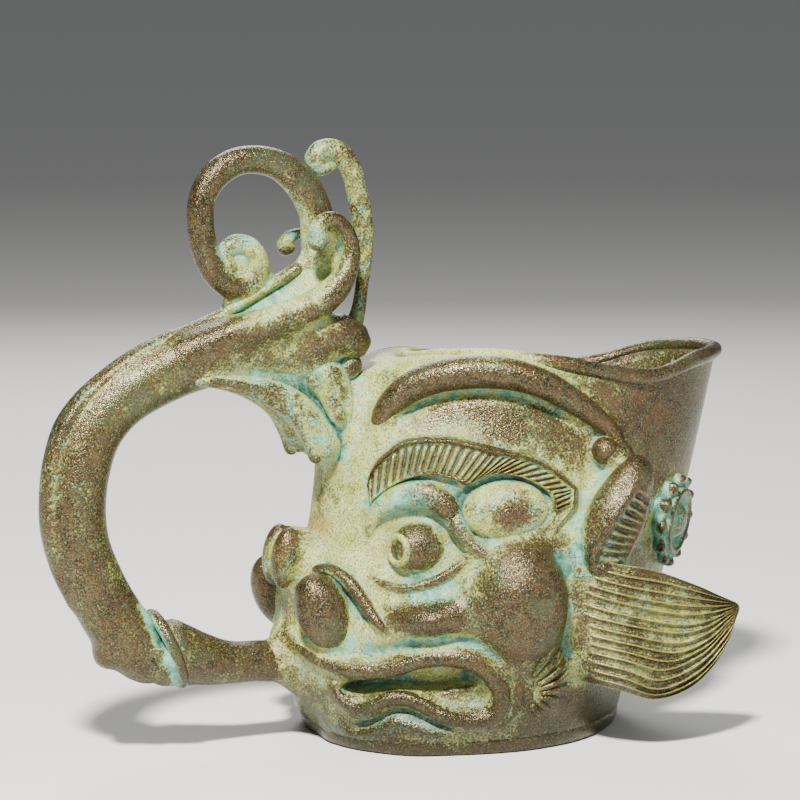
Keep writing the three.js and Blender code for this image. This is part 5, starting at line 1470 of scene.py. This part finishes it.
def swing(value, amount):
    """A noise about zero."""
    return times(maths("SUBTRACT", value, 0.5), amount)


print("patina nodes so far:", len(PATINA.nodes))

# %% [markdown]
# The colours were read from the photo. Bare bronze is brown with rusty specks and with pale specks that are
# painted glints, the old patina goes from olive to cream, and the corrosion is turquoise. The creases get a
# painted shade that is nearly black, and the lower part is darker.
# %% Colours
# a soft amount of brown and of turquoise, and then its border made of grains
brown_soft = add(painted("brown"), group_in.outputs["More brown"], swing(cloud, 1.1), swing(blotch, 0.75))
brown_soft = ramp(brown_soft, 0.05, 0.95, 0.02, 0.92)
brown_mask = ramp(add(brown_soft, swing(grain, 2.5)), 0.28, 0.72)
blue_soft = add(painted("turquoise"), group_in.outputs["More turquoise"], swing(streak, 1.7))
blue_soft = ramp(blue_soft, 0.0, 0.7, 0.0, 0.85)
blue_mask = ramp(add(blue_soft, swing(dust, 1.6)), 0.3, 0.7)

bronze = layers(
    blend(ramp(blotch, 0.34, 0.66), srgb(34, 29, 19), srgb(82, 67, 44)),
    (patch, 0.54, 0.66, 0.5, 96, 62, 40),
    (patch, 0.46, 0.34, 0.65, 74, 88, 64),
    (dust, 0.5, 0.62, 0.8, 110, 96, 60),
    (speck, 0.63, 0.72, 0.75, 158, 102, 56),
    # pale specks of the grain: painted glints
    (grain, 0.66, 0.74, 0.75, 206, 194, 152),
    (speck, 0.38, 0.3, 0.8, 80, 118, 100),
)
olive = blend(ramp(cloud, 0.38, 0.62), srgb(88, 94, 40), srgb(132, 134, 60))
yellow = layers(
    blend(ramp(cloud, 0.36, 0.6), srgb(168, 173, 74), srgb(196, 207, 126)),
    (patch, 0.55, 0.68, 0.6, 186, 142, 78),
)
yellow = blend(times(ramp(streak, 0.44, 0.64), group_in.outputs["Cream"]), yellow, srgb(212, 221, 170))
mottle = add(brown_soft, swing(grain, 1.6), swing(blotch, 0.9))
green = layers(
    blend(ramp(mottle, 0.48, 0.02), olive, yellow),
    (dust, 0.48, 0.64, 0.85, 96, 94, 46),
    (speck, 0.38, 0.28, 0.7, 120, 168, 138),
)
blue = blend(ramp(blotch, 0.36, 0.64), srgb(48, 124, 108), srgb(140, 206, 178))
colour = blend(brown_mask, blend(blue_mask, green, blue), bronze)
# painted shade: the creases go nearly black, and the metal is darker towards the bottom
shade = maths("MULTIPLY", painted("shade_and_low_darkening"), ramp(grain, 0.4, 0.6, 0.6, 1.0), clamp=True)
colour = blend(shade, colour, srgb(38, 38, 20))
# the rib mark of the brow, the mane and the ear: painted shade in the grooves, a painted highlight on the
# crests
groove, ridge_highlight = ramp(painted("rib"), 0.2, -0.5), ramp(painted("rib"), 0.2, 0.9, 0.0, 0.55)
colour = blend(times(groove, 0.85), colour, srgb(42, 38, 22))
colour = blend(times(ridge_highlight, ramp(grain, 0.4, 0.6, 0.4, 1.0)), colour, srgb(190, 178, 108))

put(colour, group_out.inputs["Color"])
rough = add(ramp(brown_mask, 0.0, 1.0, 0.48, 0.22), swing(grain, 0.6))
put(maths("ADD", rough, 0.0, clamp=True), group_out.inputs["Roughness"])
put(times(brown_mask, 0.55), group_out.inputs["Metallic"])
height = add(times(grain, 0.8), times(dust, 0.5), times(blotch, 0.9), times(brown_mask, -0.12))
put(height, group_out.inputs["Height"])
print("patina nodes:", len(PATINA.nodes))

# %% [markdown]
# There are three materials, one for each slot of the solids. They share the group, and differ in how brown,
# how turquoise and how creamy they are. The grain is a bump of a third of a millimetre.
# %% Three materials
BUMP_STRENGTH, BUMP_DEPTH = 0.75, 0.00036
SLOTS = {}
for slot, more_brown, more_blue, cream in (
    ("worn_bronze", 0.0, 0.0, 0.3), ("green_patina", 0.0, 0.0, 0.5), ("verdigris", -0.05, 0.08, 0.4),
):
    material = bpy.data.materials.new(slot)
    material.use_nodes = True
    nodes, links = material.node_tree.nodes, material.node_tree.links
    shader = nodes["Principled BSDF"]
    skin_of = nodes.new("ShaderNodeGroup")
    skin_of.node_tree = PATINA
    for name, value in (("More brown", more_brown), ("More turquoise", more_blue), ("Cream", cream)):
        skin_of.inputs[name].default_value = value
    bump = nodes.new("ShaderNodeBump")
    bump.inputs["Strength"].default_value = BUMP_STRENGTH
    bump.inputs["Distance"].default_value = BUMP_DEPTH
    links.new(skin_of.outputs["Color"], shader.inputs["Base Color"])
    links.new(skin_of.outputs["Roughness"], shader.inputs["Roughness"])
    links.new(skin_of.outputs["Metallic"], shader.inputs["Metallic"])
    links.new(skin_of.outputs["Height"], bump.inputs["Height"])
    links.new(bump.outputs["Normal"], shader.inputs["Normal"])
    SLOTS[slot] = material
print("materials:", list(SLOTS))

# %% [markdown]
# Each stored surface becomes a smooth mesh that carries its painted amounts, replaces its solid, and rides
# on the one body. The floor is a wide dish that rises far behind the goblet, so that no horizon shows.
# %% Meshes
def make(node, piece):
    """Mesh object of a piece, in place of the solid of the same name."""
    points = piece["points"] * MM
    squares, fans = piece["squares"], piece["fans"]
    mesh = bpy.data.meshes.new(node)
    mesh.vertices.add(len(points))
    mesh.vertices.foreach_set("co", points.astype(np.float32).ravel())
    loops = np.concatenate([squares.ravel(), fans.ravel()]).astype(np.int32)
    starts = np.r_[np.arange(len(squares)) * 4, squares.size + np.arange(len(fans)) * 3]
    mesh.loops.add(len(loops))
    mesh.loops.foreach_set("vertex_index", loops)
    mesh.polygons.add(len(starts))
    mesh.polygons.foreach_set("loop_start", starts.astype(np.int32))
    mesh.polygons.foreach_set("use_smooth", np.ones(len(starts), bool))
    mesh.update(calc_edges=True)
    mesh.validate()
    for name in ("brown", "turquoise", "shade_and_low_darkening", "rib"):
        layer = mesh.attributes.new(name, "FLOAT", "POINT")
        layer.data.foreach_set("value", piece[name].astype(np.float32))
    mesh.materials.append(SLOTS[piece["slot"]])
    obj = bpy.data.objects.new(node, mesh)
    bpy.context.scene.collection.objects.link(obj)
    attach(obj, "root")
    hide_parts(node)


for node, piece in pieces.items():
    make(node, piece)
# metres from the goblet, and how the floor rises from 2.5 m on
floor_mesh = bpy.data.meshes.new("studio_floor")
floor_reach = np.array([1.5, 3, 4, 5, 6, 7, 8, 9])[:, None]
floor_rise = 0.035 * np.maximum(floor_reach - 2.5, 0) ** 2
floor_turn = around(72)
floor_sides = floor_reach * np.cos(floor_turn), floor_reach * np.sin(floor_turn), floor_rise
floor_points, floor_squares, floor_fan = shell(np.stack(np.broadcast_arrays(*floor_sides), -1), [0, 0, 0])
floor_faces = floor_squares[:, ::-1].tolist() + floor_fan[:, ::-1].tolist()
floor_mesh.from_pydata(floor_points.tolist(), [], floor_faces)
floor_mesh.polygons.foreach_set("use_smooth", [True] * len(floor_mesh.polygons))
floor = bpy.data.objects.new("studio_floor", floor_mesh)
floor_material = bpy.data.materials.new("studio_floor")
floor_material.use_nodes = True
floor_shader = floor_material.node_tree.nodes["Principled BSDF"]
floor_shader.inputs["Base Color"].default_value = (0.74, 0.74, 0.73, 1)
floor_shader.inputs["Roughness"].default_value = 0.9
floor_mesh.materials.append(floor_material)
bpy.context.scene.collection.objects.link(floor)
print("meshes:", len(pieces), "and a floor of", len(floor_faces), "faces")
